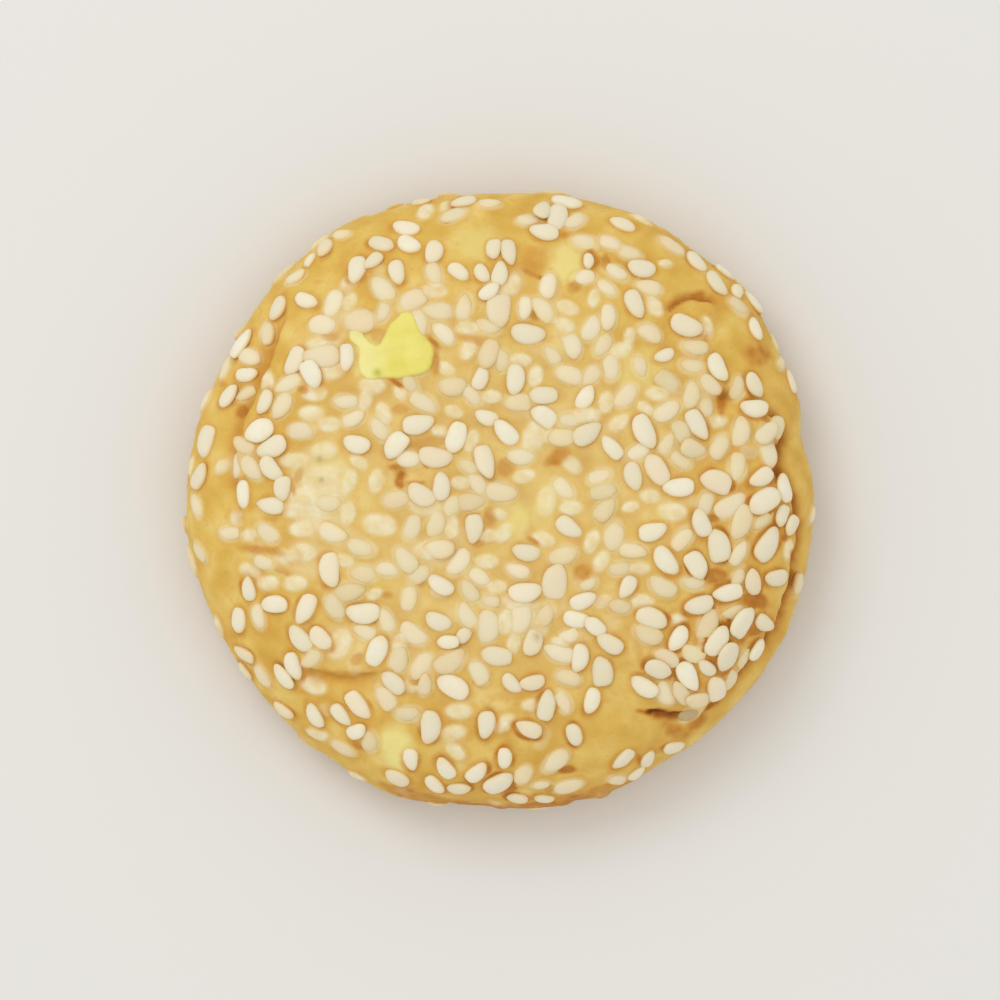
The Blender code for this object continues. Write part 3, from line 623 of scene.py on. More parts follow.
def laySeeds(placed, crust):
    # every seed's points, faces and attributes, laid on the crust; a seed that meets one laid before
    # rides up on it and leans away from it
    draw = random.Random(seeds["layDraw"])
    forms = [seedForm(shape) for shape in range(seeds["shapes"])]
    points, faces, laid = [], [], []
    columns = {"tone": [], "warmth": [], "cover": [], "tip": [], "crown": [], "dull": []}
    dullX, dullY, dullReach = seeds["dull"]
    count = 0
    for seed in placed:
        kind = seedKinds[seed["kind"]]
        if "proud" not in kind:
            continue
        hit, hitNormal, _, _ = crust.ray_cast(seed["point"] + 3 * seed["normal"], -seed["normal"])
        if hit is None:
            continue
        normal = (seed["normal"] + hitNormal).normalized()
        disks = seedDisks(seed)
        lift = 0.0
        for other in laid:
            between = other[1] - disks[1]
            if between.length > 2 * seeds["length"]:
                continue
            overlap = seeds["width"] * seeds["meetAt"] - min((a - b).length for a in disks for b in other)
            if overlap > 0:
                lift = max(lift, min(0.5 * overlap, seeds["mostLift"]))
                tilt = min(0.35 * overlap, seeds["mostTilt"])
                normal = (normal - between.normalized() * tilt).normalized()
        laid.append(disks)
        lean = [draw.uniform(-seeds["lean"], seeds["lean"]) for _ in range(3)]
        normal = (normal + Vector(lean)).normalized()
        proud = kind["proud"] * draw.uniform(*seeds["proudSpread"])
        grown = seed["size"] * kind["grown"]
        middle = hit + normal * (proud + lift - seeds["thickness"] / 2)
        across = normal.cross(seed["along"]).normalized()
        frameOfSeed = np.array((across.cross(normal), across, normal))
        flip = draw.choice((-1, 1))
        form, formFaces = forms[draw.randrange(seeds["shapes"])]
        local = form * np.array((flip * grown, grown, 0.6 + 0.4 * grown))
        points.append(local @ frameOfSeed + np.array(middle))
        faces += [tuple(count + corner for corner in face[::flip]) for face in formFaces]
        count += len(form)
        for label, value in (("tone", draw.random()), ("warmth", draw.random()),
                             ("cover", draw.uniform(*kind["cover"]))):
            columns[label].append(np.full(len(form), value))
        columns["tip"].append(smoothStep(-form[:, 0] / seeds["length"] * 3.2 - 0.7))
        # crown: how far up the seed a point is; the material paints shade at its foot from this
        shown = (local[:, 2] + proud + lift - seeds["thickness"] / 2) / (proud + lift)
        columns["crown"].append(np.clip(kind["foot"] + (1 - kind["foot"]) * shown, 0, 1))
        dull = math.hypot(seed["point"].x - dullX, seed["point"].y - dullY) < dullReach
        columns["dull"].append(np.full(len(form), float(dull)))
    columns = {key: np.concatenate(value) for key, value in columns.items()}
    points = np.concatenate(points)
    columns["speck"] = speckCover(points)
    return points, faces, columns


skin = {
    "smearCore": 0.50,  # a smear is even inside this share of its size, then fades
    "smearFade": 0.80,
    "smearFoot": 2.0,  # smears start at this height and are full a little above it
    "smearGrow": 3.6,
    "heart": (0.22, 12, 16),  # how much paler the middle of the top is, to what radius, then fading over
    "blotch": 1.7,  # size across of the stretches where browning and painted shade are stronger or weaker
    "toastAndShade": (0.45, 0.33, 14, 12),  # browning and painted shade round seeds: in the middle, how much more outside, from, over
    "sideBrown": 0.45,  # how brown the foot of the side is, and the height where that ends
    "sideBrownTo": 3.6,
    "underBrown": (6.0, 0.18, 0.16),  # the underside: size of its clouds, how brown, how far that varies
}
# the colours of the dough's skin by place: x, y, half length, half width, bearing, strength
# the first list is partly real brown patches and partly painted shade: the dark slit at 17.2, -22.3 and the
# shade below it, thin dark lines along the folds, and the darker edge at y about -31
brownedAndShadedSmears = (
    (3.8, 25.1, 1.6, 1.7, 0, 0.30), (9.5, 25.2, 1.2, 1.3, 0, 0.50), (6.8, 27.9, 0.9, 0.5, 0, 0.38),
    (3.8, 19.4, 0.8, 0.7, 0, 0.46), (7.8, 22.3, 1.0, 0.8, 0, 0.36), (-7.1, 16.6, 1.4, 0.4, -50, 0.50),
    (-10.8, 12.2, 1.1, 0.35, -30, 0.52), (-10.4, 9.5, 1.1, 0.6, 0, 0.30),
    (-13.0, 17.4, 0.9, 0.7, 0, 0.26), (-17.8, 17.0, 0.9, 0.5, 0, 0.26),
    (-20.4, 11.4, 0.7, 0.5, 0, 0.38), (-27.0, 9.2, 0.9, 0.7, 40, 0.55),
    (-28.8, 12.1, 0.6, 0.5, 0, 0.30), (-7.2, 6.1, 2.1, 0.7, 10, 0.27), (0.5, 3.4, 1.1, 1.0, 0, 0.34),
    (5.7, 4.3, 1.8, 1.0, 25, 0.44), (-1.2, -1.9, 0.8, 1.1, 0, 0.34), (8.5, -7.6, 1.3, 1.0, 0, 0.42),
    (3.4, -4.2, 1.1, 0.4, -30, 0.40), (-8.2, -8.4, 0.8, 1.0, 0, 0.36), (-8.8, -18.9, 0.9, 0.4, 0, 0.41),
    (1.2, -20.5, 2.6, 0.6, 0, 0.22), (-14.9, -16.6, 0.8, 0.6, 30, 0.30),
    (-17.2, -18.2, 2.6, 0.6, 0, 0.26), (-15.0, -25.8, 1.1, 0.5, -30, 0.38),
    (7.1, -28.4, 1.2, 0.55, 0, 0.60), (1.2, -30.1, 1.1, 0.45, 0, 0.50), (5.1, -30.3, 0.6, 0.7, 0, 0.38),
    (26.3, -10.4, 1.7, 1.0, -20, 0.60), (23.3, 10.0, 0.8, 1.4, 0, 0.56),
    (28.7, 3.8, 0.35, 2.4, 0, 0.75), (22.3, -1.9, 0.7, 0.7, 0, 0.50), (30.9, -1.6, 0.4, 1.3, 0, 0.65),
    (30.8, -5.5, 0.8, 0.6, 0, 0.50), (20.4, 21.2, 1.3, 0.75, 20, 0.52), (22.2, 20.6, 0.5, 0.8, 0, 0.30),
    (21.6, 5.4, 0.8, 0.5, 0, 0.26), (22.4, -7.9, 1.5, 0.9, 10, 0.50),
    (17.2, -22.3, 2.6, 0.42, -5, 1.00), (18.2, -24.0, 2.1, 1.0, -25, 0.42),
    (14.5, -16.0, 0.5, 2.2, 10, 0.22), (21.4, 16.3, 0.6, 1.2, 0, 0.40),
    (27.1, 15.1, 1.7, 1.3, -30, 0.46), (-25.0, -5.2, 3.2, 0.55, -8, 0.36),
    (-26.0, -0.5, 0.6, 1.2, 0, 0.22), (-24.5, -3.5, 1.6, 0.5, -30, 0.22),
    (-11.8, -9.9, 0.8, 0.5, 0, 0.34), (-22.5, 2.0, 0.8, 1.3, 20, 0.22),
    (-21.0, 2.5, 0.5, 1.0, -20, 0.30), (10.6, -21.0, 1.2, 0.5, 0, 0.19),
    (4.3, -11.5, 0.9, 0.5, 0, 0.15), (24.5, -16.9, 1.4, 0.5, 60, 0.30),
    (20.6, -23.4, 1.5, 0.6, 20, 0.45), (14.5, -27.0, 0.5, 0.9, 10, 0.50),
    (-2.3, -4.5, 0.8, 0.5, 0, 0.30), (-8.8, 1.8, 1.5, 0.28, 0, 0.36), (-7.9, 3.8, 0.8, 0.25, -57, 0.50),
    (25.6, 4.9, 0.9, 0.6, 0, 0.26), (-24.0, -1.9, 1.3, 0.4, 0, 0.30),
    (-22.5, -7.5, 0.9, 0.4, -20, 0.32), (-21.6, 1.2, 0.35, 1.2, 20, 0.35),
    (-2.3, 16.6, 2.5, 0.6, -15, 0.29), (26.6, -12.6, 1.4, 1.1, 30, 0.46),
    (25.0, -14.3, 0.7, 0.9, 0, 0.50), (21.6, -15.3, 0.6, 0.9, 20, 0.40),
    (20.6, -16.4, 0.5, 0.7, 0, 0.40), (-9.0, -31.0, 4.8, 0.9, -15, 0.40),
    (-2.0, -32.3, 5.5, 0.9, -3, 0.50), (5.0, -32.0, 5.5, 0.9, 7, 0.50),
    (-27.5, -14.3, 0.8, 0.3, 0, 0.30), (-6.75, 14.4, 0.5, 1.7, 0, 0.38),
    (-12.8, 17.1, 0.9, 0.9, 0, 0.26), (27.6, 8.5, 1.4, 0.35, -40, 0.40),
    (30.6, 0.6, 0.35, 1.8, 25, 0.40), (29.5, -3.9, 0.5, 0.4, 0, 0.60), (4.1, 23.4, 1.8, 0.4, -28, 0.46),
    (15.6, 22.9, 1.2, 0.4, -10, 0.42), (11.1, 25.2, 0.5, 1.0, 0, 0.42),
    (28.6, -14.2, 0.9, 0.25, 50, 0.50), (29.0, -13.0, 0.9, 0.25, 55, 0.45),
    (25.9, -13.6, 1.5, 0.7, 0, 0.50), (22.2, -21.6, 1.3, 0.5, 30, 0.60),
    (11.5, -30.4, 4.8, 0.9, 20, 0.40), (-10.9, 3.4, 1.1, 0.5, 0, 0.44), (-10.5, 2.2, 0.6, 1.0, 0, 0.50),
)
paleSmears = (
    (-18.8, 0.6, 3.2, 5.2, 0, 0.90), (-19.3, -5.2, 2.8, 1.3, -15, 0.5), (-18.6, 14.8, 3.0, 2.4, 0, 0.9),
    (-14.8, 15.0, 1.4, 2.2, 0, 0.5), (0.8, 22.8, 1.8, 1.6, 0, 0.6), (5.2, 20.8, 1.4, 2.4, 0, 0.4),
    (-6.5, -5.2, 3.6, 2.0, 0, 0.7), (2.6, -12.3, 3.0, 2.4, 0, 0.8), (-9.2, -17.0, 2.8, 2.6, 0, 0.3),
    (4.0, 9.6, 3.4, 2.0, -10, 0.5), (-16.3, -15.0, 2.4, 2.6, 0, 0.50), (-1.0, 8.0, 1.6, 1.6, 0, 0.3),
    (-6.7, -1.2, 2.0, 3.0, 20, 0.35), (25.0, -1.5, 2.0, 2.4, 20, 0.3), (4.6, 7.6, 2.4, 1.4, 0, 0.35),
    (11.2, -13.0, 1.8, 1.2, 0, 0.4), (-4.5, -25.5, 1.2, 2.4, 10, 0.3), (-20.2, 3.2, 1.8, 2.6, 0, 0.80),
    (-18.0, -3.4, 4.4, 1.4, -15, 0.60), (-20.0, -7.0, 3.2, 1.3, -10, 0.55),
)
butterSmears = (
    (-10.9, -25.8, 1.9, 2.6, 0, 1.0), (15.2, 13.5, 2.9, 2.1, 0, 0.6), (7.2, 24.7, 2.3, 2.4, 0, 0.8),
    (2.0, -2.1, 1.4, 2.2, 10, 0.6), (9.6, 17.8, 1.7, 1.3, 0, 0.55), (-14.3, 15.2, 1.9, 2.4, 0, 0.8),
    (-6.6, -25.0, 1.5, 1.0, -30, 0.6), (4.6, 0.5, 2.0, 3.0, 0, 0.25), (-18.5, 3.0, 3.0, 2.5, 0, 0.2),
    (-4.0, 12.0, 1.6, 1.6, 0, 0.2), (4.2, -1.6, 1.4, 2.4, 0, 0.4), (-2.2, 27.0, 3.2, 2.0, 0, 0.5),
    (-5.2, -27.0, 0.9, 1.5, 25, 0.5),
)
# where the gaps between seeds are darker, partly browning, partly painted shade: x, y, radius, how much
# more
toastedAndShadedAreas = ((21.0, -14.0, 8.0, 1.0), (26.0, -1.0, 7.0, 0.6), (2.0, -28.0, 8.0, 0.9),
                (-22.0, -14.0, 9.0, 0.4), (25.0, 10.0, 7.0, 0.4), (-14.0, 24.0, 5.0, 0.4))
# small olive specks: x, y, radius
specks = ((3.8, -14.3, 0.4), (-18.8, 4.3, 0.35), (-18.6, 2.1, 0.3))


def speckCover(points):
    cover = np.zeros(len(points))
    for x, y, radius in specks:
        cover = np.maximum(cover, np.exp(-((np.hypot(points[:, 0] - x, points[:, 1] - y) / radius) ** 2)))
    return cover


def smearCover(points, smears, wander):
    total = np.zeros(len(points))
    for x, y, halfLength, halfWidth, turn, strength in smears:
        east, north = math.cos(math.radians(turn)), math.sin(math.radians(turn))
        run = ((points[:, 0] - x) * east + (points[:, 1] - y) * north) / halfLength
        side = ((points[:, 1] - y) * east - (points[:, 0] - x) * north) / halfWidth
        reach = np.hypot(run, side) + wander
        fade = smoothStep((reach - skin["smearCore"]) / skin["smearFade"])
        total = np.maximum(total, strength * (1 - fade))
    return total * smoothStep((points[:, 2] - skin["smearFoot"]) / skin["smearGrow"])


def makeDough(placed, material):
    print("dough: shape")
    directions, faces = ballFaces()
    body, normals = bodyPoint(*arcAndBearing(directions))
    height = body[:, 2]
    underside = normals[:, 2] < -0.9
    lumps = sum(size * np.array([noise.noise(Vector(point) / across + dough["lumpSeed"] * across)
                                 for point in body]) for across, size in dough["lumps"])
    wander = sum(most * noiseAt(body, across, shift) for across, most, shift in dough["wander"])
    foldHeight, brownedAndShaded = foldRelief(body, wander)
    pitHeight = np.zeros(len(body))
    # each hole is painted darker: partly browning, partly painted shade inside it
    for x, y, radius, depth, pitDarkening in pits:
        mask = np.exp(-(((np.hypot(body[:, 0] - x, body[:, 1] - y) + 0.8 * wander) / radius) ** 2))
        pitHeight -= depth * mask
        brownedAndShaded = np.maximum(brownedAndShaded, pitDarkening * mask)
    grow = smoothStep((height - dough["lumpsFrom"]) / (dough["lumpsTo"] - dough["lumpsFrom"]))
    upper = smoothStep((height - dough["foldsFrom"]) / (dough["foldsTo"] - dough["foldsFrom"]))
    crumb = sum(size * noiseAt(body, across, 5.0) for across, size in dough["crumb"])
    relief = lumps * grow + (foldHeight + pitHeight) * upper + crumb * np.where(underside, 0.0, 1.0)
    brownedAndShaded *= upper

    print("dough: seeds pressed into it")
    tree = KDTree(len(body))
    for index, point in enumerate(body):
        tree.insert(point, index)
    tree.balance()
    blotch = 0.5 + 0.5 * noiseAt(body, skin["blotch"], 9.0)
    fromMiddle = np.hypot(body[:, 0], body[:, 1])
    heartPale, heartEdge, heartFade = skin["heart"]
    heart = heartPale * (1 - smoothStep((fromMiddle - heartEdge) / heartFade)) * (0.5 + blotch) * upper
    pale = np.maximum(smearCover(body, paleSmears, 0.9 * wander), heart)
    butter = smearCover(body, butterSmears, 0.9 * wander)
    brownedAndShaded = np.maximum(brownedAndShaded, smearCover(body, brownedAndShadedSmears, 1.1 * wander))
    # how strong the painted shade and browning round the seeds is, by place
    toastAndShade, edgeToastAndShade, toastAndShadeEdge, toastAndShadeFade = skin["toastAndShade"]
    toastedAndShaded = toastAndShade + edgeToastAndShade * smoothStep((fromMiddle - toastAndShadeEdge) / toastAndShadeFade)
    for x, y, radius, more in toastedAndShadedAreas:
        toastedAndShaded += more * np.exp(-((np.hypot(body[:, 0] - x, body[:, 1] - y) / radius) ** 2))
    for seed in placed:
        near = np.array([found[1] for found in tree.find_range(seed["point"], 1.1 * seeds["length"])])
        if not len(near):
            continue
        offset = body[near] - np.array(seed["point"])
        halfLength = seeds["length"] / 2 * seed["size"]
        halfWidth = seeds["width"] / 2 * seed["size"]
        reach = np.hypot(offset @ np.array(seed["along"]) / halfLength,
                         offset @ np.array(seed["across"]) / halfWidth)
        gap = (reach - 1) * halfWidth
        kind = seedKinds[seed["kind"]]
        edge = gap if "proud" in kind else reach + 0.25 * wander[near]
        paleMost, swellMost = (kind[mark][0] * (1 - smoothStep((edge - kind[mark][1]) / kind[mark][2]))
                               for mark in ("pale", "swell"))
        rimMost, rimAt, rimWidth = kind["rim"]
        rim = rimMost * np.exp(-(((gap - rimAt) / rimWidth) ** 2))
        pale[near] = np.maximum(pale[near], paleMost)
        relief[near] += swellMost + kind["lip"] * np.exp(-(((gap - 0.15) / 0.3) ** 2))
        # a darker ring round each seed: partly browning, partly painted shade in the gap between seed and
        # crust
        brownedAndShaded[near] = np.maximum(brownedAndShaded[near], rim * blotch[near] * toastedAndShaded[near])
    points = body + normals * relief[:, None]
    points[:, 2] = np.maximum(points[:, 2], 0.0)
    # the underside takes small holes from the air under it
    holeSize, holeDepth = dough["trayHoles"]
    points[:, 2] += holeDepth * smoothStep(noiseAt(body, holeSize, 12.0) * 3 - 0.9) * underside
    # the side browns towards the tray, and the underside most of all
    cloudSize, under, underSpread = skin["underBrown"]
    tray = (1 - smoothStep(height / skin["sideBrownTo"])) * skin["sideBrown"]
    tray += underside * (under + underSpread * noiseAt(body, cloudSize, 14.0))
    brownedAndShaded = np.maximum(brownedAndShaded, np.clip(tray + 0.12 * wander, 0, 1))
    attributes = {"pale": pale, "butter": butter, "brownedAndShaded": brownedAndShaded, "speck": speckCover(body)}
    made = newObject("dough", points, faces, material, attributes)
    print("dough:", len(faces), "triangles")
    return made, BVHTree.FromPolygons(points.tolist(), faces)


# one thin chip, with a lower wing on its left
flake = {
    "outline": ((-12.5, 16.2), (-13.2, 16.2), (-14.0, 16.9), (-14.4, 17.7), (-15.4, 18.0), (-15.9, 17.4),
                (-15.6, 16.5), (-14.6, 15.9), (-14.9, 14.4), (-14.6, 13.0), (-13.5, 12.5), (-12.5, 12.7),
                (-11.4, 12.7), (-10.4, 12.6), (-9.1, 12.9), (-7.8, 13.2), (-7.2, 13.7), (-7.0, 14.6),
                (-6.8, 15.6), (-7.2, 16.5), (-8.3, 17.5), (-8.7, 19.0), (-9.2, 19.7), (-10.4, 19.6),
                (-10.8, 18.9), (-11.4, 18.6), (-12.0, 17.4)),
    "proud": 0.45,  # how far it stands out of the crust, and how deep it goes
    "depth": 0.7,
    "edgeWidth": 0.45,  # how far in from its edge the top levels off
    "thinFrom": -10.8,  # it thins from here towards its left
    "thinOver": 3.4,
    "thinned": 0.45,  # the share of its height that it loses there
    "step": 0.2,  # between the points of its top
    "stain": (-12.8, 13.3, 0.45),  # x, y, radius
}


def roundedOutline(outline):
    # each corner cut off twice, so that the outline is soft but keeps its shape
    points = [np.array(point) for point in outline]
    for _ in range(2):
        ends = list(zip(points, points[1:] + points[:1]))
        points = [share * a + (1 - share) * b for a, b in ends for share in (0.75, 0.25)]
    return points


def makeFlake(crust, material):
    print("flake")
    outline = roundedOutline(flake["outline"])
    low, high = np.min(outline, axis=0), np.max(outline, axis=0)
    columns, rows = (np.arange(a, b, flake["step"]) for a, b in zip(low, high))
    inner = [np.array((x, y)) for x in columns for y in rows]
    inner = [spot for spot in inner if np.hypot(*(np.array(outline) - spot).T).min() > 0.6 * flake["step"]]
    spots = [Vector(spot) for spot in outline + inner]
    cut = delaunay_2d_cdt(spots, [], [list(range(len(outline)))], 1, 1e-6)
    used = sorted({corner for face in cut[2] for corner in face})
    spots = np.array([tuple(cut[0][corner]) for corner in used])
    upper = [tuple(used.index(corner) for corner in face) for face in cut[2]]

    distance = np.abs(pathDistance(spots, outline + outline[:1])[0])
    bulge = np.sqrt(1 - (1 - np.clip(distance / flake["edgeWidth"], 0, 1)) ** 2)
    thin = smoothStep((flake["thinFrom"] - spots[:, 0]) / flake["thinOver"])
    uneven = 1 + 0.25 * noiseAt(np.column_stack((spots, 0 * thin)), 1.6)
    raised = flake["proud"] * (1 - flake["thinned"] * thin) * uneven * bulge
    hits = [crust.ray_cast(Vector((x, y, 2 * dough["height"])), Vector((0, 0, -1)))[0] for x, y in spots]
    base = np.array([tuple(hit) for hit in hits])
    up = np.array((0.0, 0.0, 1.0))
    points = np.concatenate((base + raised[:, None] * up, base - flake["depth"] * up))

    # the top, the same turned over below it, and a wall from each open edge of the top down
    count = len(spots)
    ways = {(face[turn - 1], face[turn]) for face in upper for turn in range(3)}
    wall = [(b, a, a + count, b + count) for a, b in sorted(ways) if (b, a) not in ways]
    lower = [tuple(corner + count for corner in face[::-1]) for face in upper]
    stainX, stainY, stainSize = flake["stain"]
    stain = np.exp(-((np.hypot(spots[:, 0] - stainX, spots[:, 1] - stainY) / stainSize) ** 2))
    attributes = {"edge": 1 - bulge, "thin": thin, "stain": stain}
    attributes = {label: np.tile(values, 2) for label, values in attributes.items()}
    return newObject("pale_flake", points, upper + wall + lower, material, attributes)


def newMaterial(name, finish, labels=()):
    # finish holds the shader's constants, and labels the mesh's attributes that the material reads
    material = bpy.data.materials.new(name)
    material.use_nodes = True
    tree = material.node_tree
    shader = tree.nodes["Principled BSDF"]
    for socket, value in finish.items():
        shader.inputs[socket].default_value = value
    marks = {label: addNode(tree, "Attribute", "Fac", attribute_name=label) for label in labels}
    return material, tree, shader, marks


def layTint(tree, colour, tint, by, most=1.0, start=0.0, end=1.0):
    # the tint laid over the colour, more and more as a value grows from start to end
    share = addNode(tree, "MapRange", "Result", {"Value": by, "From Min": start, "From Max": end,
                                                 "To Max": most})
    return addNode(tree, "Mix", 2, {0: share, 6: colour, 7: tint}, data_type="RGBA")


def bakedShortDough():
    # baked short dough: a dry, fine crumb with a little fat in it, so it is matt with a faint sheen, and
    # golden with paler and browner clouds
    material, tree, shader, marks = newMaterial("baked_short_dough", {
        "Roughness": 0.66, "IOR": 1.45, "Specular IOR Level": 0.25,
        "Subsurface Weight": 0.10, "Subsurface Radius": (1.0, 0.55, 0.22), "Subsurface Scale": 0.9 * mm,
    }, ("pale", "butter", "brownedAndShaded", "speck"))
    place = addNode(tree, "TexCoord", "Object")
    clouds = addNode(tree, "TexNoise", "Fac", {"Vector": place, "Scale": 1 / (3.2 * mm), "Detail": 3.0})
    colour = addNode(tree, "ValToRGB", "Color", {"Fac": clouds}, (
        (0.30, "#d3a548"), (0.46, "#dcb456"), (0.60, "#e3c167"), (0.75, "#e9cd80")))
    grit = addNode(tree, "TexNoise", "Fac", {"Vector": place, "Scale": 1 / (0.8 * mm), "Detail": 3.0})
    colour = layTint(tree, colour, srgb("#cf9a40"), grit, 0.45, 0.52, 0.72)
    # seeds just under the skin pale it, unevenly
    patches = addNode(tree, "TexNoise", "Fac", {"Vector": place, "Scale": 1 / (1.1 * mm)})
    uneven = addNode(tree, "MapRange", "Result", {"Value": patches, "From Min": 0.3, "From Max": 0.7,
                                                  "To Min": 0.8, "To Max": 1.12})
    pale = addNode(tree, "Math", 0, {0: marks["pale"], 1: uneven}, operation="MULTIPLY", use_clamp=True)
    creamy = addNode(tree, "ValToRGB", "Color", {"Fac": pale}, ((0.65, "#ead8a6"), (1.0, "#eee3bf")))
    colour = layTint(tree, colour, creamy, pale)
    colour = layTint(tree, colour, srgb("#ebdc8c"), marks["butter"])
    # it browns where it is thin, and it is painted darker in creases and round the seeds, partly as
    # browning and partly as painted shade
    heatAndShade = addNode(tree, "Math", 0, {0: marks["brownedAndShaded"], 1: uneven}, operation="MULTIPLY", use_clamp=True)
    toastAndShade = addNode(tree, "ValToRGB", "Color", {"Fac": heatAndShade}, (
        (0.0, "#d99f42"), (0.4, "#c68936"), (0.7, "#a8661f"), (1.0, "#6b3809")))
    colour = layTint(tree, colour, toastAndShade, heatAndShade, 1.0, 0.02, 0.45)
    colour = layTint(tree, colour, srgb("#a89a4a"), marks["speck"], 0.7)
    tree.links.new(colour, shader.inputs["Base Color"])
    # crumb, then grit, drawn a little coarser than flour so that they show
    crumb = addNode(tree, "TexNoise", "Fac", {"Vector": place, "Scale": 1 / (0.55 * mm), "Detail": 3.0})
    fine = addNode(tree, "TexNoise", "Fac", {"Vector": place, "Scale": 1 / (0.16 * mm)})
    bumpy = addNode(tree, "Bump", "Normal", {"Height": crumb, "Strength": 0.5, "Distance": 0.10 * mm})
    bumpy = addNode(tree, "Bump", "Normal", {"Height": fine, "Strength": 0.4, "Distance": 0.05 * mm,
                                             "Normal": bumpy})
    tree.links.new(bumpy, shader.inputs["Normal"])
    return material


def hulledSesame():
    # hulled sesame seed: oily and faintly see-through, so it is creamy, with a soft shine on a smooth skin
    material, tree, shader, marks = newMaterial("hulled_sesame", {
        "Roughness": 0.5, "IOR": 1.47, "Specular IOR Level": 0.3,
        "Subsurface Weight": 0.14, "Subsurface Radius": (1.0, 0.75, 0.45), "Subsurface Scale": 0.6 * mm,
    }, ("crown", "cover", "tone", "warmth", "tip", "dull", "speck"))
    place = addNode(tree, "TexCoord", "Object")
    # its foot is darker and more golden, partly the crust's colour and partly painted shade where it meets
    # the crust; a pressed-in seed is filmed all over with the crust's colour
    bare = addNode(tree, "ValToRGB", "Color", {"Fac": marks["crown"]}, (
        (0.0, "#e0b26c"), (0.30, "#efdcae"), (0.60, "#f1e7cb"), (1.0, "#f1ecd8")))
    filmed = addNode(tree, "ValToRGB", "Color", {"Fac": marks["crown"]}, (
        (0.0, "#e4c27c"), (0.35, "#e8d09a"), (1.0, "#ecdcb4")))
    colour = layTint(tree, bare, filmed, marks["cover"])
    # each seed has its own tone and warmth, a darker point and faint clouds
    shade = addNode(tree, "ValToRGB", "Color", {"Fac": marks["tone"]}, ((0.0, "#f3efe6"), (1.0, "#ffffff")))
    colour = addNode(tree, "Mix", 2, {0: 1.0, 6: colour, 7: shade}, data_type="RGBA", blend_type="MULTIPLY")
    clouds = addNode(tree, "TexNoise", "Fac", {"Vector": place, "Scale": 1 / (0.9 * mm)})
    colour = layTint(tree, colour, srgb("#ecd6ae"), marks["warmth"], 0.55, 0.6)
    colour = layTint(tree, colour, srgb("#e0bd84"), marks["tip"], 0.30)
    colour = layTint(tree, colour, srgb("#ebdcae"), clouds, 0.3, 0.4, 0.7)
    colour = layTint(tree, colour, srgb("#b59b6e"), marks["dull"], 0.8)
    colour = layTint(tree, colour, srgb("#a89a4a"), marks["speck"], 0.7)
    tree.links.new(colour, shader.inputs["Base Color"])
    fine = addNode(tree, "TexNoise", "Fac", {"Vector": place, "Scale": 1 / (0.22 * mm)})
    bumpy = addNode(tree, "Bump", "Normal", {"Height": fine, "Strength": 0.3, "Distance": 0.04 * mm})
    tree.links.new(bumpy, shader.inputs["Normal"])
    return material


def hardPaleFat():
    # a flake of hard pale fat: dense, smooth and waxy, paler where it is thin
    material, tree, shader, marks = newMaterial("hard_pale_fat", {
        "Roughness": 0.5, "IOR": 1.45, "Specular IOR Level": 0.3,
        "Subsurface Weight": 0.2, "Subsurface Radius": (1.0, 0.85, 0.4), "Subsurface Scale": 0.8 * mm,
    }, ("thin", "edge", "stain"))
    place = addNode(tree, "TexCoord", "Object")
    clouds = addNode(tree, "TexNoise", "Fac", {"Vector": place, "Scale": 1 / (2.6 * mm)})
    colour = addNode(tree, "ValToRGB", "Color", {"Fac": clouds}, ((0.35, "#e3d865"), (0.65, "#eae07a")))
    colour = layTint(tree, colour, srgb("#efe599"), marks["thin"], 0.85)
    colour = layTint(tree, colour, srgb("#ecd97c"), marks["edge"], 0.5, 0.3)
    colour = layTint(tree, colour, srgb("#c2bb45"), marks["stain"])
    tree.links.new(colour, shader.inputs["Base Color"])
    return material


studio = {
    "floor": "#e6e4df",
    "floorSize": 4.0,  # metres, as are the key's size and place
    "floorDrop": 0.05,  # millimetres, so that the floor and the underside aren't in one plane
    "sky": 0.86,
    "skyColour": (1.0, 0.995, 0.985, 1.0),
    "keyPower": 1.8,
    "keySize": 0.5,
    "keyFrom": (-0.35, 0.45, 0.75),
    "lens": 600.0,
    "sensor": 36.0,
    "frameWidth": 105.0,  # millimetres across the picture at the height of the biscuit's rim
}


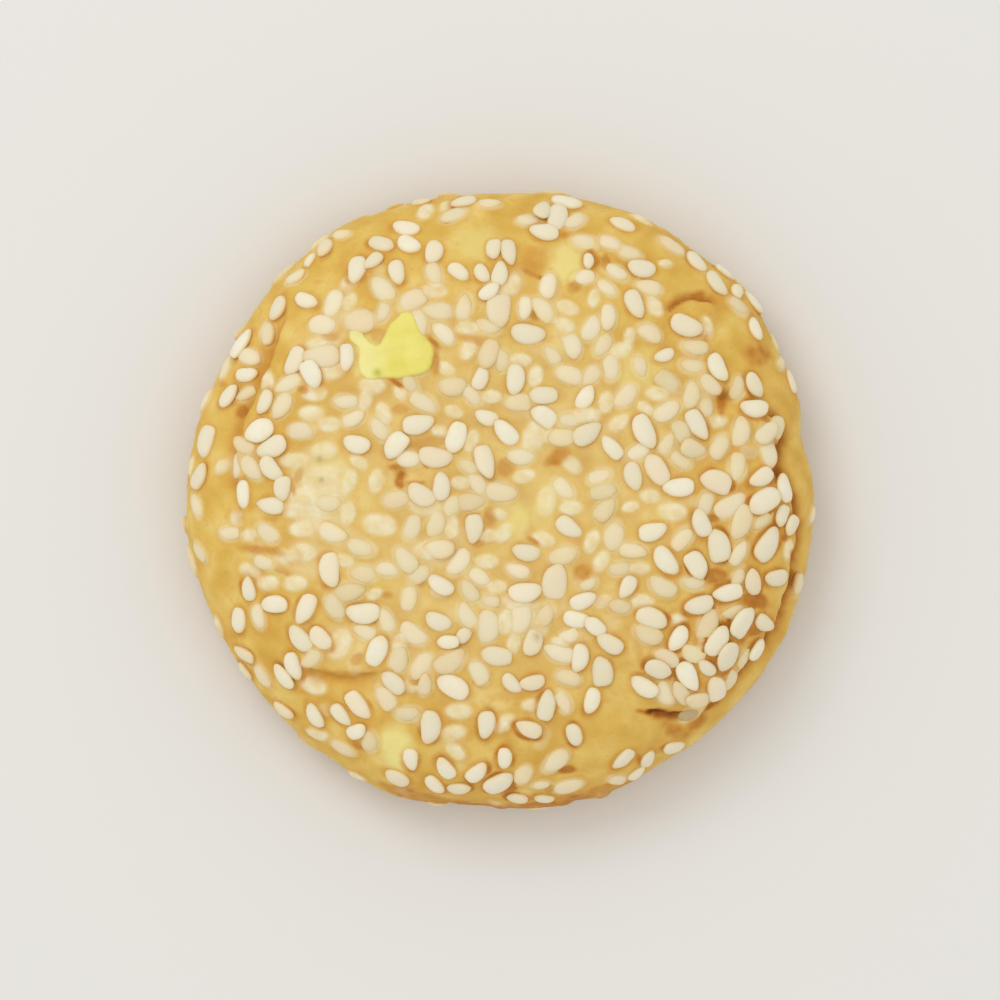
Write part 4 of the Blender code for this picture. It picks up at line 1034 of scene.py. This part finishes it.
def makeStudio():
    print("studio")
    half = studio["floorSize"] / 2
    mesh = bpy.data.meshes.new("floor")
    mesh.from_pydata([(-half, -half, 0), (half, -half, 0), (half, half, 0), (-half, half, 0)], [],
                     [(0, 1, 2, 3)])
    # matt card: pulp pressed flat, so it is even and has no shine
    mesh.materials.append(newMaterial("matt_card", {
        "Base Color": srgb(studio["floor"]), "Roughness": 0.9, "Specular IOR Level": 0.1})[0])
    floor = bpy.data.objects.new("floor", mesh)
    floor.location.z = -studio["floorDrop"] * mm
    bpy.context.scene.collection.objects.link(floor)

    world = bpy.data.worlds.new("soft_room")
    world.use_nodes = True
    sky = world.node_tree.nodes["Background"].inputs
    sky["Color"].default_value = studio["skyColour"]
    sky["Strength"].default_value = studio["sky"]
    bpy.context.scene.world = world

    lamp = bpy.data.lights.new("key", "AREA")
    lamp.shape = "DISK"
    lamp.size = studio["keySize"]
    lamp.energy = studio["keyPower"]
    key = bpy.data.objects.new("key", lamp)
    key.location = studio["keyFrom"]
    key.rotation_euler = (-key.location).to_track_quat("-Z", "Y").to_euler()
    bpy.context.scene.collection.objects.link(key)

    camera = bpy.data.cameras.new("camera")
    camera.lens = studio["lens"]
    camera.sensor_width = studio["sensor"]
    camera.clip_start = 0.01
    camera.clip_end = 10.0
    seen = bpy.data.objects.new("camera", camera)
    away = studio["frameWidth"] / camera.sensor_width * camera.lens
    seen.location = (0.0, 0.0, (dough["widestHeight"] + away) * mm)
    bpy.context.scene.collection.objects.link(seen)
    bpy.context.scene.camera = seen
    bpy.context.scene.view_settings.view_transform = "Standard"


placedSeeds = allSeeds()
print("seeds:", len(placedSeeds))
doughPiece, crustTree = makeDough(placedSeeds, bakedShortDough())
seedPoints, seedFaces, seedColumns = laySeeds(placedSeeds, crustTree)
seedPiece = newObject("sesame_seeds", seedPoints, seedFaces, hulledSesame(), seedColumns)
print("seeds:", len(seedFaces), "faces")
flakePiece = makeFlake(crustTree, hardPaleFat())
for piece, slot in ((doughPiece, "baked_crust"), (seedPiece, "sesame_seed"), (flakePiece, "pale_flake")):
    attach(piece, "root")
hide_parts("biscuit")
makeStudio()
